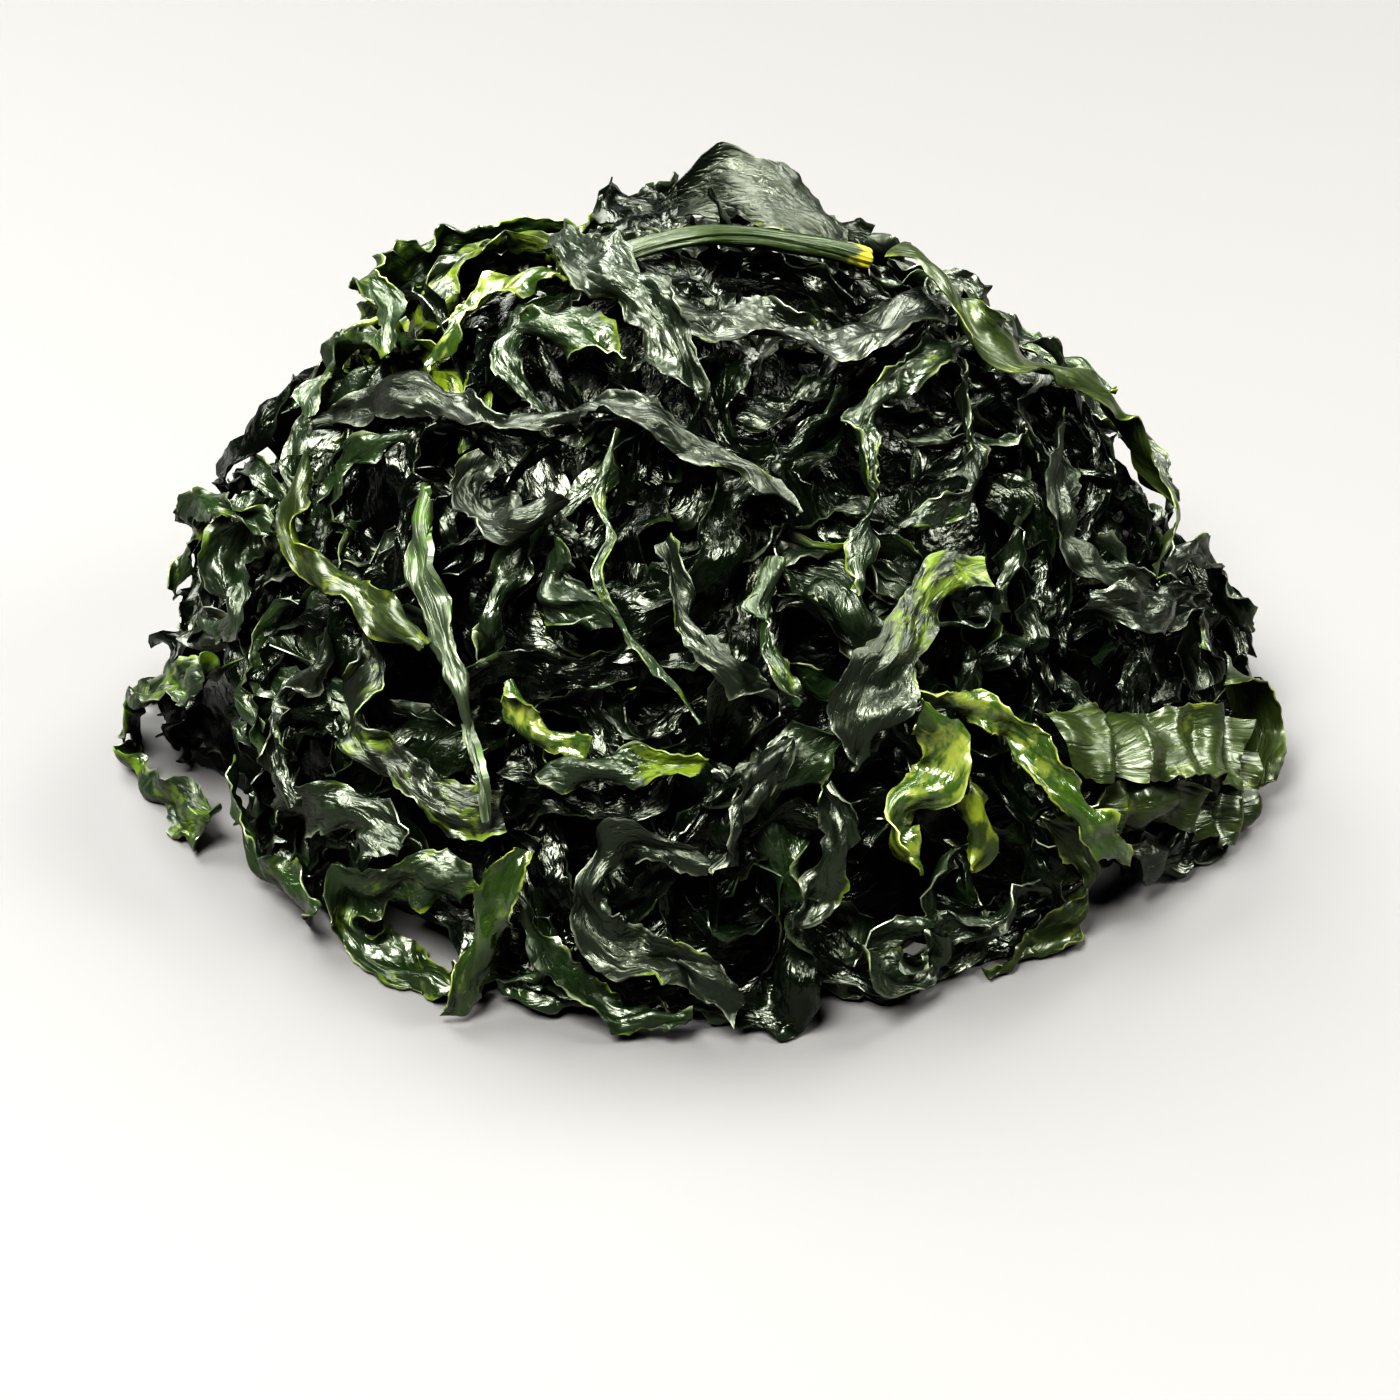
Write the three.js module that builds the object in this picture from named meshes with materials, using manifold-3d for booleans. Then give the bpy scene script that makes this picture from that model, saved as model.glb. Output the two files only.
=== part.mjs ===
// Salted wakame: a heap of cut frond strips, rinsed and loosened, as it lies on a flat surface.
// Millimetres, +Z up. The origin is the middle of the flat underside and -Y faces the viewer.
// The heap is described by directions from its origin: a bearing (0 towards the viewer, positive to the
// right) and a fall (0 straight up, 90 level with the ground), both in degrees. Every strip runs over
// the heap's mean surface at a lift, its height above that surface along the direction.
import * as THREE from "three";
import { mergeVertices } from "three/addons/utils/BufferGeometryUtils.js";
import Module from "manifold-3d";

const wasm = await Module();
wasm.setup();

// The heap's mean surface, a rounded cone: half axes, and the power that sets how full its flanks are.
const HEAP = { halfWidth: 107, halfDepth: 94, height: 107, fullness: 1.65 };
const GROUND_GAP = 0.9; // the middle of a blade that lies on the ground is this high

const BLADE_THICKNESS = 0.8;
const RIB_THICKNESS = 3; // a piece of the frond's midrib
const ROW_STEP = 7.5; // mean spacing of a strip's cross-sections along it
const ROWS = { fewest: 5, most: 19 };
const ROUTE_STEPS = 8; // fine steps for each stretch between two points of a route
const SIDES = [-1, 0, 1]; // a cross-section's points: left edge, middle, right edge

// A frond strip's edges wave up and down, and its middle follows at half the pace.
const RUFFLE = { edge: 0.55, middle: 0.19 }; // heights against the half width
const WAVE = { widths: 2.3, extra: 9.2 }; // length of one wave: strip widths, and mm on top
const WIDTH_SWING = { share: 0.14, pace: 0.63 }; // a strip's width swells and narrows along it
const END_TAPER = { share: 0.62, sharpness: 5 }; // how much narrower the cut ends are, and how suddenly
const ROLL_WANDER = { degrees: 12, turns: 7 };

const CLEARANCE = 0.35; // air left between two strips where one is trimmed to pass the other
const LAY_GAP = 1.4; // how far above the strips below a strip is laid, middle to middle
const LAY_CELL = 1.3; // degrees: the grain of the map of what has been laid so far
const LAY_SLOPE = 0.6; // how steeply a strip comes down again beside one that it passes over

// The heart: a smaller, furrowed core with loose loops of strip standing out of it.
const CORE = { depth: 15, furrow: 4, columns: 30, rings: 9 };
const LOOP = {
  count: 68,
  rows: 7,
  sides: [-1, 1],
  narrowest: 7,
  widest: 11,
  rootLift: -20, // the two ends are sunk in the core
  crestLifts: [-9, -2],
  fullness: 0.7, // below 1 a loop rises steeply from its roots
  stride: 13, // degrees of direction between the points of a loop's route
  turn: 0.5, // radians that its route bends at most
  roll: 70, // degrees, the spread of the draws
  twist: 120,
};
const GOLDEN_ANGLE = 137.508;

// The strips that the front view hides, in two tiers round the far side.
const FAR_SIDE = {
  count: 12,
  perTier: 7,
  firstBearing: 118,
  bearingStep: 21,
  tierFalls: [62, 26],
  spread: 10,
  stops: 5,
  lean: 26,
  wander: 22,
  fallStep: 8,
  narrowest: 7,
  widest: 12,
  roll: 60,
  twist: 120,
  kinds: ["dark", "dark", "green", "dark", "lime", "dark", "green"],
};

const MATERIALS = {
  dark: new THREE.MeshStandardMaterial({ color: 0x0d1a12, roughness: 0.25, metalness: 0 }),
  green: new THREE.MeshStandardMaterial({ color: 0x24401a, roughness: 0.22, metalness: 0 }),
  lime: new THREE.MeshStandardMaterial({ color: 0x7f9f1d, roughness: 0.2, metalness: 0 }),
  rib: new THREE.MeshStandardMaterial({ color: 0x4a5f3a, roughness: 0.35, metalness: 0 }),
};

// The strips that show from the front, listed as they are laid, lowest first.
// width in mm; route in [bearing, fall]; roll turns a strip on its edge and twist is how far it turns
// from end to end, in degrees; rise is how far its middle arches clear of the heap.
const FRONT_STRIPS = [
  { name: "front_left_blade", kind: "green", width: 11, roll: 30, twist: 50,
    route: [[-26, 75], [-38, 80], [-42, 86], [-35, 90], [-24, 88]] },
  { name: "floor_left_strip", kind: "green", width: 9, roll: -20, twist: 60,
    route: [[-64, 77], [-59, 82], [-52, 86], [-44, 85]] },
  { name: "floor_middle_curl", kind: "dark", width: 9, roll: 35, twist: -70,
    route: [[18, 80], [20, 84], [22, 86], [26, 86], [27, 82]] },
  { name: "floor_right_strip", kind: "green", width: 8, roll: -10, twist: 25,
    route: [[44, 74], [48, 83], [42, 89], [33, 91]] },
  { name: "floor_wave_strip", kind: "green", width: 6, roll: 60, twist: 20,
    route: [[-21, 75], [-16, 82], [-9, 87], [-1, 87]] },
  { name: "right_low_blade", kind: "dark", width: 10, roll: 25, twist: -30,
    route: [[53, 83], [58, 86], [66, 89], [73, 90]] },
  { name: "left_low_blade", kind: "dark", width: 11, roll: -20, twist: 30,
    route: [[-54, 77], [-44, 73], [-35, 74]] },
  { name: "left_crumple", kind: "dark", width: 11, roll: 35, twist: -60,
    route: [[-80, 53], [-80, 57], [-77, 61], [-72, 63], [-74, 67]] },
  { name: "far_left_blade", kind: "dark", width: 12, roll: -30, twist: 70,
    route: [[-68, 68], [-75, 74], [-81, 80], [-88, 86], [-86, 90], [-76, 89], [-66, 86]] },
  { name: "far_right_tail", kind: "dark", width: 7, roll: 10, twist: 50,
    route: [[76, 60], [86, 64], [91, 70], [89, 77]] },
  { name: "right_grey_blade", kind: "dark", width: 11, roll: 15, twist: -25,
    route: [[80, 42], [70, 44], [66, 46], [64, 51], [67, 56], [73, 61]] },
  { name: "right_shoulder_blade", kind: "dark", width: 10, roll: 20, twist: 40,
    route: [[58, 55], [68, 61], [78, 66], [74, 74]] },
  { name: "middle_crumple", kind: "dark", width: 11, roll: -15, twist: 45,
    route: [[-24, 37], [-24, 42], [-21, 44], [-16, 46]] },
  { name: "middle_left_fold", kind: "dark", width: 9, roll: 25, twist: -55,
    route: [[-46, 32], [-46, 36], [-38, 38], [-30, 37], [-26, 34]] },
  { name: "middle_pale_strip", kind: "dark", width: 7, roll: 40, twist: 60,
    route: [[-6, 36], [-3, 43], [2, 48], [10, 53]] },
  { name: "middle_leaf", kind: "green", width: 7.5, roll: 50, twist: 30,
    route: [[13, 38], [11, 41], [9, 44], [10, 49], [12, 53]] },
  { name: "lime_chip", kind: "lime", width: 6.5, roll: -10, twist: 70,
    route: [[-26, 53], [-24, 56], [-22, 58], [-18, 58], [-14, 58]] },
  { name: "lime_end_strip", kind: "green", width: 7, roll: 15, twist: -60,
    route: [[-20, 62], [-10, 60], [1, 59]] },
  { name: "narrow_front_strip", kind: "dark", width: 6.5, roll: 30, twist: 80,
    route: [[12, 57], [8, 60], [6, 63], [4, 66], [4, 70]] },
  { name: "front_loop", kind: "dark", width: 8, roll: 10, twist: 60,
    route: [[1, 70], [-4, 68], [-9, 68], [-12, 72], [-12, 76], [-9, 80], [-4, 80], [0, 82], [4, 86]] },
  { name: "front_hook", kind: "dark", width: 7, roll: -25, twist: 70,
    route: [[16, 62], [16, 65], [16, 68], [14, 73], [12, 77], [10, 78]] },
  { name: "left_hanging_strip", kind: "dark", width: 7.5, roll: 10, twist: 40,
    route: [[-57, 57], [-56, 60], [-58, 66], [-54, 68], [-52, 71], [-48, 74]] },
  { name: "left_drape", kind: "dark", width: 9.5, roll: 10, twist: 65,
    route: [[-50, 54], [-48, 58], [-48, 63], [-42, 66], [-38, 66], [-33, 68], [-27, 68], [-24, 67]] },
  { name: "lime_tip", kind: "lime", width: 8, roll: 20, twist: 40,
    route: [[-20, 70], [-23, 79], [-25, 89]] },
  { name: "pleated_low_blade", kind: "green", width: 13, roll: -15, twist: 20,
    route: [[46, 74], [52, 77], [60, 80], [68, 85], [74, 88]] },
  { name: "pleated_blade", kind: "green", width: 14, roll: 20, twist: -25,
    route: [[47, 66], [54, 70], [61, 73], [68, 77], [73, 83]] },
  { name: "far_right_blade", kind: "green", width: 12, roll: 50, twist: 30,
    route: [[79, 75], [84, 80], [83, 86], [77, 90]] },
  { name: "olive_stub", kind: "green", width: 6, roll: 15, twist: -20,
    route: [[34, 66], [34, 70], [34, 74], [32, 76]] },
  { name: "lime_leaf", kind: "lime", width: 6.5, roll: -30, twist: 50,
    route: [[28, 54], [34, 57], [40, 60], [42, 63], [43, 67], [44, 71], [46, 76], [50, 81]] },
  { name: "lime_ribbon", kind: "lime", width: 10, roll: 10, twist: 90,
    route: [[28, 57], [31, 60], [31, 64], [27, 66], [23, 67], [23, 70], [26, 74]] },
  { name: "tongue_blade", kind: "dark", width: 10.5, roll: 10, twist: 30,
    route: [[47, 46], [42, 44], [36, 46], [30, 49], [25, 52], [21, 56], [20, 62]] },
  { name: "right_crumple_low", kind: "dark", width: 6, roll: 45, twist: -60,
    route: [[76, 29], [68, 30], [63, 32], [59, 36], [52, 38], [46, 38], [41, 38], [37, 38]] },
  { name: "right_crumple", kind: "green", width: 6.5, roll: 35, twist: 60,
    route: [[75, 28], [60, 25], [47, 25], [38, 28], [35, 32], [34, 35], [29, 38], [26, 41], [24, 43]] },
  { name: "thin_string", kind: "green", width: 2.5, roll: 20, twist: 60,
    route: [[-20, 25], [-20, 30], [-22, 32], [-16, 34], [-16, 38], [-16, 41], [-13, 44], [-8, 48],
      [-2, 52], [0, 55]] },
  { name: "rib_strip", kind: "rib", width: 6.5, roll: 5, twist: 20,
    route: [[-54, 38], [-51, 41], [-47, 45], [-42, 48], [-38, 51], [-33, 55], [-30, 60], [-26, 64],
      [-25, 68]] },
  { name: "olive_blade", kind: "green", width: 7.5, roll: 10, twist: 40,
    route: [[-79, 46], [-76, 48], [-74, 52], [-66, 53], [-56, 52], [-48, 52], [-38, 52]] },
  { name: "lime_arch", kind: "lime", width: 8.5, roll: 15, twist: 30,
    route: [[-76, 30], [-78, 25], [-82, 22], [-86, 18], [-84, 16], [-70, 14]] },
  { name: "folded_leaf", kind: "green", width: 9, roll: -10, twist: 40,
    route: [[-66, 20], [-55, 18], [-38, 17], [-24, 18]] },
  { name: "midrib_stalk", kind: "rib", width: 4.5, roll: 0, twist: 0,
    route: [[-70, 9], [37, 2], [84, 8], [94, 14], [97, 17]] },
  { name: "long_sash", kind: "dark", width: 8.5, roll: 20, twist: 60,
    route: [[-84, 44], [-78, 38], [-68, 32], [-61, 30], [-52, 30], [-46, 28], [-34, 24], [-22, 24],
      [-8, 25], [4, 27], [12, 30], [18, 34]] },
  { name: "crescent_blade", kind: "dark", width: 11.5, roll: 20, twist: -30,
    route: [[-43, 10], [-14, 11], [8, 12], [20, 13], [34, 15], [46, 18], [62, 20], [76, 22],
      [89, 24]] },
  { name: "central_strip", kind: "dark", width: 9.5, roll: -15, twist: 40,
    route: [[-110, 16], [-54, 12], [-32, 12], [-17, 14], [-8, 17], [0, 21]] },
  { name: "left_curl", kind: "green", width: 10, roll: 30, twist: 60,
    route: [[-83, 44], [-92, 42], [-91, 38], [-88, 34], [-76, 31]] },
  { name: "far_left_arch", kind: "green", width: 6.5, roll: 35, twist: 50,
    route: [[-72, 53], [-80, 56], [-87, 61], [-92, 67], [-91, 73]] },
  { name: "top_left_loop", kind: "green", width: 10, roll: 40, twist: 20, rise: 5,
    route: [[-72, 32], [-80, 30], [-90, 31], [-102, 32], [-111, 32], [-116, 30], [-120, 26],
      [-127, 22], [-136, 19]] },
  { name: "long_arch", kind: "green", width: 7.5, roll: 20, twist: 30, rise: 3,
    route: [[94, 19], [81, 22], [73, 26], [71, 30], [79, 36], [83, 42], [88, 49], [85, 54],
      [80, 56], [72, 56], [68, 57]] },
  { name: "top_fold", kind: "dark", width: 13, roll: -45, twist: 30, rise: 3,
    route: [[-170, 13], [165, 12], [140, 12], [117, 17]] },
];

const radians = THREE.MathUtils.degToRad;

// A repeatable stream of draws between 0 and 1.
function seededDraws(seed) {
  let state = seed;
  return () => {
    state = (state * 1664525 + 1013904223) % 4294967296;
    return state / 4294967296;
  };
}

function direction([bearing, fall]) {
  const level = Math.sin(radians(fall));
  const x = level * Math.sin(radians(bearing));
  const y = -level * Math.cos(radians(bearing));
  return new THREE.Vector3(x, y, Math.cos(radians(fall)));
}

// Distance from the origin to the heap's mean surface along a direction.
function heapRadius(way) {
  const x = Math.abs(way.x / HEAP.halfWidth) ** HEAP.fullness;
  const y = Math.abs(way.y / HEAP.halfDepth) ** HEAP.fullness;
  const z = Math.abs(way.z / HEAP.height) ** HEAP.fullness;
  return (x + y + z) ** (-1 / HEAP.fullness);
}

function liftOf(point) {
  return point.length() - heapRadius(point.clone().normalize());
}

function catmullRom(p0, p1, p2, p3, t) {
  const out = new THREE.Vector3();
  for (const axis of ["x", "y", "z"]) {
    const [a, b, c, d] = [p0[axis], p1[axis], p2[axis], p3[axis]];
    const bend = (2 * a - 5 * b + 4 * c - d) * t + (3 * b - a - 3 * c + d) * t * t;
    out[axis] = 0.5 * (2 * b + (c - a) * t + bend * t);
  }
  return out;
}

// Directions at equal steps along a smooth route through the given directions.
function evenDirections(route, rows) {
  const stops = route.map(direction);
  const fine = [];
  for (let i = 0; i + 1 < stops.length; i++) {
    const around = [i - 1, i, i + 1, i + 2].map((k) => stops[Math.min(Math.max(k, 0), stops.length - 1)]);
    for (let k = 0; k < ROUTE_STEPS; k++) fine.push(catmullRom(...around, k / ROUTE_STEPS));
  }
  fine.push(stops.at(-1).clone());
  const points = fine.map((way) => way.normalize().multiplyScalar(heapRadius(way)));
  const run = [0];
  for (let i = 1; i < points.length; i++) run.push(run[i - 1] + points[i].distanceTo(points[i - 1]));
  const length = run.at(-1);
  const count = rows ?? THREE.MathUtils.clamp(Math.round(length / ROW_STEP), ROWS.fewest, ROWS.most);
  const ways = [];
  for (let i = 0; i <= count; i++) {
    const s = (length * i) / count;
    let k = 1;
    while (k < run.length - 1 && run[k] < s) k++;
    const share = (s - run[k - 1]) / (run[k] - run[k - 1]);
    ways.push(points[k - 1].clone().lerp(points[k], share).normalize());
  }
  return { ways, length };
}

// Each cross-section's direction, and where its points lie from the middle of the strip there.
function shapeStrip(strip, draw, sides = SIDES, rows) {
  const { ways, length } = evenDirections(strip.route, rows);
  const middles = ways.map((way) => way.clone().multiplyScalar(heapRadius(way)));
  const half = strip.width / 2;
  const wave = (2 * Math.PI * length) / (WAVE.widths * strip.width + WAVE.extra);
  const phases = [draw() * 2 * Math.PI, draw() * 2 * Math.PI];
  const waves = strip.kind === "rib" ? 0 : half;
  const offsets = ways.map((way, i) => {
    const t = i / (ways.length - 1);
    const ahead = middles[Math.min(i + 1, middles.length - 1)].clone();
    const along = ahead.sub(middles[Math.max(i - 1, 0)]).normalize();
    const side = along.clone().cross(way).normalize();
    const out = side.clone().cross(along).normalize();
    const wander = ROLL_WANDER.degrees * Math.sin(ROLL_WANDER.turns * t + phases[0]);
    const roll = radians(strip.roll + strip.twist * (t - 0.5) + wander);
    const across = side.clone().multiplyScalar(Math.cos(roll)).addScaledVector(out, Math.sin(roll));
    const up = out.clone().multiplyScalar(Math.cos(roll)).addScaledVector(side, -Math.sin(roll));
    const taper = 1 - END_TAPER.share * Math.abs(2 * t - 1) ** END_TAPER.sharpness;
    return sides.map((edge) => {
      const phase = wave * t + phases[edge < 0 ? 0 : 1];
      const reach = half * taper * (1 + WIDTH_SWING.share * Math.sin(WIDTH_SWING.pace * phase + 1));
      const sway = RUFFLE.middle * Math.sin(0.5 * wave * t + phases[0]);
      const height = waves * (edge === 0 ? sway : RUFFLE.edge * Math.sin(phase));
      return across.clone().multiplyScalar(edge * reach).addScaledVector(up, height);
    });
  });
  return { ...strip, ways, offsets, lifts: ways.map(() => 0) };
}

// The strip's middle surface: rows of points, none of them below the ground.
function surfaceOf({ ways, offsets, lifts, raised }) {
  return ways.map((way, i) => offsets[i].map((offset, j) => {
    const reach = heapRadius(way) + lifts[i] + (raised?.[i][j] ?? 0);
    const point = way.clone().multiplyScalar(reach).add(offset);
    point.z = Math.max(point.z, GROUND_GAP);
    return point;
  }));
}

// Points spread over a strip's surface, each with the row and column of the corner that it is nearest to.
function spreadPoints(rows) {
  const steps = [1, 3, 5, 7, 9].map((k) => k / 10);
  const points = [];
  for (let i = 0; i + 1 < rows.length; i++) {
    for (let j = 0; j + 1 < rows[i].length; j++) {
      for (const u of steps) {
        for (const v of steps) {
          const near = rows[i][j].clone().lerp(rows[i][j + 1], v);
          const far = rows[i + 1][j].clone().lerp(rows[i + 1][j + 1], v);
          points.push({ row: Math.round(i + u), column: Math.round(j + v), point: near.lerp(far, u) });
        }
      }
    }
  }
  return points;
}

function cellOf(point) {
  const fall = THREE.MathUtils.radToDeg(Math.acos(point.z / point.length()));
  const bearing = Math.atan2(point.x, -point.y);
  return [fall * Math.sin(bearing), fall * Math.cos(bearing)].map((span) => Math.round(span / LAY_CELL));
}

// Adds a strip to the map of the highest lift laid so far in each cell.
function cover(map, rows) {
  for (const { point } of spreadPoints(rows)) {
    const key = cellOf(point).join();
    map.set(key, Math.max(map.get(key) ?? -Infinity, liftOf(point)));
  }
}

function highestNear(map, point) {
  const [u, v] = cellOf(point);
  const near = [-1, 0, 1].flatMap((du) => [-1, 0, 1].map((dv) => map.get([u + du, v + dv].join()) ?? -Infinity));
  return Math.max(...near);
}

// Lays a strip over those already there: each corner is raised as far as what lies under it asks.
function lay(shaped, map) {
  const rows = surfaceOf(shaped);
  const needed = rows.map((row) => row.map(() => 0));
  for (const { row, column, point } of spreadPoints(rows)) {
    const need = highestNear(map, point) + LAY_GAP - liftOf(point);
    needed[row][column] = Math.max(needed[row][column], need);
  }
  shaped.raised = rows.map((row, i) => row.map((corner) => {
    const draped = rows.flatMap((other, k) => other.map((from, m) =>
      needed[k][m] - LAY_SLOPE * Math.max(from.distanceTo(corner) - ROW_STEP / 2, 0)));
    const arch = (shaped.rise ?? 0) * Math.sin((Math.PI * i) / (rows.length - 1));
    return Math.max(0, ...draped) + arch;
  }));
  return shaped;
}

function solidFrom(points, faces) {
  const geometry = new THREE.BufferGeometry().setFromPoints(points).setIndex(faces);
  const merged = mergeVertices(geometry, 1e-4);
  const mesh = new wasm.Mesh({
    numProp: 3,
    vertProperties: merged.attributes.position.array,
    triVerts: new Uint32Array(merged.index.array),
  });
  return new wasm.Manifold(mesh);
}

// Moves a middle surface's rim outwards by a margin, for the room that the strip keeps round it.
function widen(rows, margin) {
  const past = (row, inner) => row.map((p, j) => p.clone().sub(inner[j]).setLength(margin).add(p));
  const longer = [past(rows[0], rows[1]), ...rows, past(rows.at(-1), rows.at(-2))];
  return longer.map((row) => {
    const across = row.at(-1).clone().sub(row[0]).normalize().multiplyScalar(margin);
    const middle = (row.length - 1) / 2;
    return row.map((p, j) => p.clone().addScaledVector(across, Math.sign(j - middle)));
  });
}

// Gives a middle surface its thickness: two faces split alike, joined round the rim.
function thicken(rows, thickness) {
  const columns = rows[0].length;
  const under = rows.length * columns;
  const points = [];
  for (const face of [1, -1]) {
    rows.forEach((row, i) => row.forEach((point, j) => {
      const along = rows[Math.min(i + 1, rows.length - 1)][j].clone().sub(rows[Math.max(i - 1, 0)][j]);
      const across = row[Math.min(j + 1, columns - 1)].clone().sub(row[Math.max(j - 1, 0)]);
      const out = across.cross(along).normalize();
      points.push(point.clone().addScaledVector(out, (face * thickness) / 2));
    }));
  }
  const faces = [];
  const at = (i, j) => i * columns + j;
  for (let i = 0; i + 1 < rows.length; i++) {
    for (let j = 0; j + 1 < columns; j++) {
      const [a, b, c, d] = [at(i, j), at(i, j + 1), at(i + 1, j + 1), at(i + 1, j)];
      faces.push(a, b, c, a, c, d);
      faces.push(a + under, c + under, b + under, a + under, d + under, c + under);
    }
  }
  const wall = (a, b) => faces.push(a, a + under, b, b, a + under, b + under);
  for (let j = 0; j + 1 < columns; j++) {
    wall(at(0, j), at(0, j + 1));
    wall(at(rows.length - 1, j + 1), at(rows.length - 1, j));
  }
  for (let i = 0; i + 1 < rows.length; i++) {
    wall(at(i + 1, 0), at(i, 0));
    wall(at(i, columns - 1), at(i + 1, columns - 1));
  }
  return solidFrom(points, faces);
}

function largestBody(solid) {
  const bodies = solid.decompose();
  return bodies.reduce((best, body) => (body.volume() > best.volume() ? body : best));
}

function boxesMeet(a, b) {
  return [0, 1, 2].every((k) => a.min[k] <= b.max[k] && b.min[k] <= a.max[k]);
}

// The furrowed core, flat underneath: rings of points from the top down, and a fan that closes each end.
function coreSolid() {
  const points = [new THREE.Vector3(0, 0, 0), new THREE.Vector3(0, 0, HEAP.height - CORE.depth)];
  for (let ring = 1; ring <= CORE.rings; ring++) {
    for (let column = 0; column < CORE.columns; column++) {
      const [bearing, fall] = [(360 * column) / CORE.columns, (90 * ring) / CORE.rings];
      const way = direction([bearing, fall]);
      const bend = radians(5 * bearing + 140 * Math.sin(radians(3 * fall)));
      const furrow = CORE.furrow * Math.sin(bend) * Math.sin(radians(7 * fall + 2 * bearing));
      const point = way.clone().multiplyScalar(heapRadius(way) - CORE.depth + furrow);
      if (ring === CORE.rings) point.z = 0;
      points.push(point);
    }
  }
  const faces = [];
  const at = (ring, column) => 2 + (ring - 1) * CORE.columns + (column % CORE.columns);
  for (let column = 0; column < CORE.columns; column++) {
    faces.push(1, at(1, column), at(1, column + 1));
    for (let ring = 1; ring < CORE.rings; ring++) {
      const [a, b] = [at(ring, column), at(ring, column + 1)];
      const [c, d] = [at(ring + 1, column), at(ring + 1, column + 1)];
      faces.push(a, c, d, a, d, b);
    }
    faces.push(0, at(CORE.rings, column + 1), at(CORE.rings, column));
  }
  return solidFrom(points, faces);
}

// Loops of strip with both ends sunk in the core, spread evenly round it.
function heartLoops() {
  const draw = seededDraws(11);
  return Array.from({ length: LOOP.count }, (_, k) => {
    const width = THREE.MathUtils.lerp(LOOP.narrowest, LOOP.widest, draw());
    const crest = THREE.MathUtils.lerp(...LOOP.crestLifts, draw());
    const fall = THREE.MathUtils.radToDeg(Math.acos(1 - (k + 0.5) / LOOP.count));
    const spread = Math.max(Math.sin(radians(fall)), 0.3);
    const heading = 2 * Math.PI * draw();
    const route = [-1.5, -0.5, 0.5, 1.5].map((stop) => {
      const turned = heading + LOOP.turn * stop * (draw() - 0.5);
      const aside = (stop * LOOP.stride * Math.sin(turned)) / spread;
      const down = stop * LOOP.stride * Math.cos(turned);
      return [k * GOLDEN_ANGLE + aside, Math.min(fall + down, 88)];
    });
    const look = { kind: "dark", roll: LOOP.roll * (draw() - 0.5), twist: LOOP.twist * (draw() - 0.5) };
    const shaped = shapeStrip({ ...look, width, route }, draw, LOOP.sides, LOOP.rows);
    shaped.lifts = shaped.ways.map((_, i) =>
      THREE.MathUtils.lerp(LOOP.rootLift, crest, Math.sin((Math.PI * i) / LOOP.rows) ** LOOP.fullness));
    return surfaceOf(shaped);
  });
}

// Strips for the far side, in routes that wander down the heap.
function farSideStrips() {
  const draw = seededDraws(5);
  return Array.from({ length: FAR_SIDE.count }, (_, k) => {
    const tier = Math.floor(k / FAR_SIDE.perTier);
    const start = FAR_SIDE.firstBearing + (k % FAR_SIDE.perTier) * FAR_SIDE.bearingStep;
    let bearing = start + FAR_SIDE.spread * (draw() - 0.5);
    let fall = FAR_SIDE.tierFalls[tier] + FAR_SIDE.spread * (draw() - 0.5);
    const lean = FAR_SIDE.lean * (draw() - 0.5);
    const route = [];
    for (let stop = 0; stop < FAR_SIDE.stops; stop++) {
      route.push([bearing, Math.min(fall, 89)]);
      bearing += lean + FAR_SIDE.wander * (draw() - 0.5);
      fall += FAR_SIDE.fallStep * (1 + draw() / 2);
    }
    return {
      name: `far_side_strip_${String(k + 1).padStart(2, "0")}`,
      kind: FAR_SIDE.kinds[k % FAR_SIDE.kinds.length],
      width: THREE.MathUtils.lerp(FAR_SIDE.narrowest, FAR_SIDE.widest, draw()),
      roll: FAR_SIDE.roll * (draw() - 0.5),
      twist: FAR_SIDE.twist * (draw() - 0.5),
      route,
    };
  });
}

function meshOf(name, solid, material) {
  const { vertProperties, triVerts, numProp, numVert } = solid.getMesh();
  const positions = new Float32Array(numVert * 3);
  for (let i = 0; i < numVert; i++) {
    positions.set(vertProperties.subarray(i * numProp, i * numProp + 3), i * 3);
  }
  const geometry = new THREE.BufferGeometry();
  geometry.setAttribute("position", new THREE.BufferAttribute(positions, 3));
  geometry.setIndex(new THREE.BufferAttribute(new Uint32Array(triVerts), 1));
  geometry.computeVertexNormals();
  const mesh = new THREE.Mesh(geometry, material);
  mesh.name = name;
  return mesh;
}

// Lays every strip in turn, and trims the few places where two would still touch.
function laidStrips(loops) {
  const draw = seededDraws(3);
  const map = new Map();
  for (const loop of loops) cover(map, loop);
  const laid = [];
  for (const strip of [...farSideStrips(), ...FRONT_STRIPS]) {
    const rows = surfaceOf(lay(shapeStrip(strip, draw), map));
    cover(map, rows);
    const thickness = strip.kind === "rib" ? RIB_THICKNESS : BLADE_THICKNESS;
    let solid = thicken(rows, thickness);
    for (const other of laid) {
      if (!boxesMeet(solid.boundingBox(), other.room.boundingBox())) continue;
      if (solid.intersect(other.room).volume() > 0) solid = largestBody(solid.subtract(other.room));
    }
    laid.push({ strip, solid, room: thicken(widen(rows, CLEARANCE), thickness + 2 * CLEARANCE) });
  }
  return laid;
}

const loops = heartLoops();
const strips = laidStrips(loops);
let heart = coreSolid();
for (const loop of loops) heart = heart.add(thicken(loop, BLADE_THICKNESS));
for (const { room } of strips) heart = heart.subtract(room);

const wakame = new THREE.Group();
wakame.name = "salted_wakame";
wakame.add(meshOf("heart_tangle", largestBody(heart), MATERIALS.dark));
for (const { strip, solid } of strips) wakame.add(meshOf(strip.name, solid, MATERIALS[strip.kind]));

export default wakame;
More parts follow.
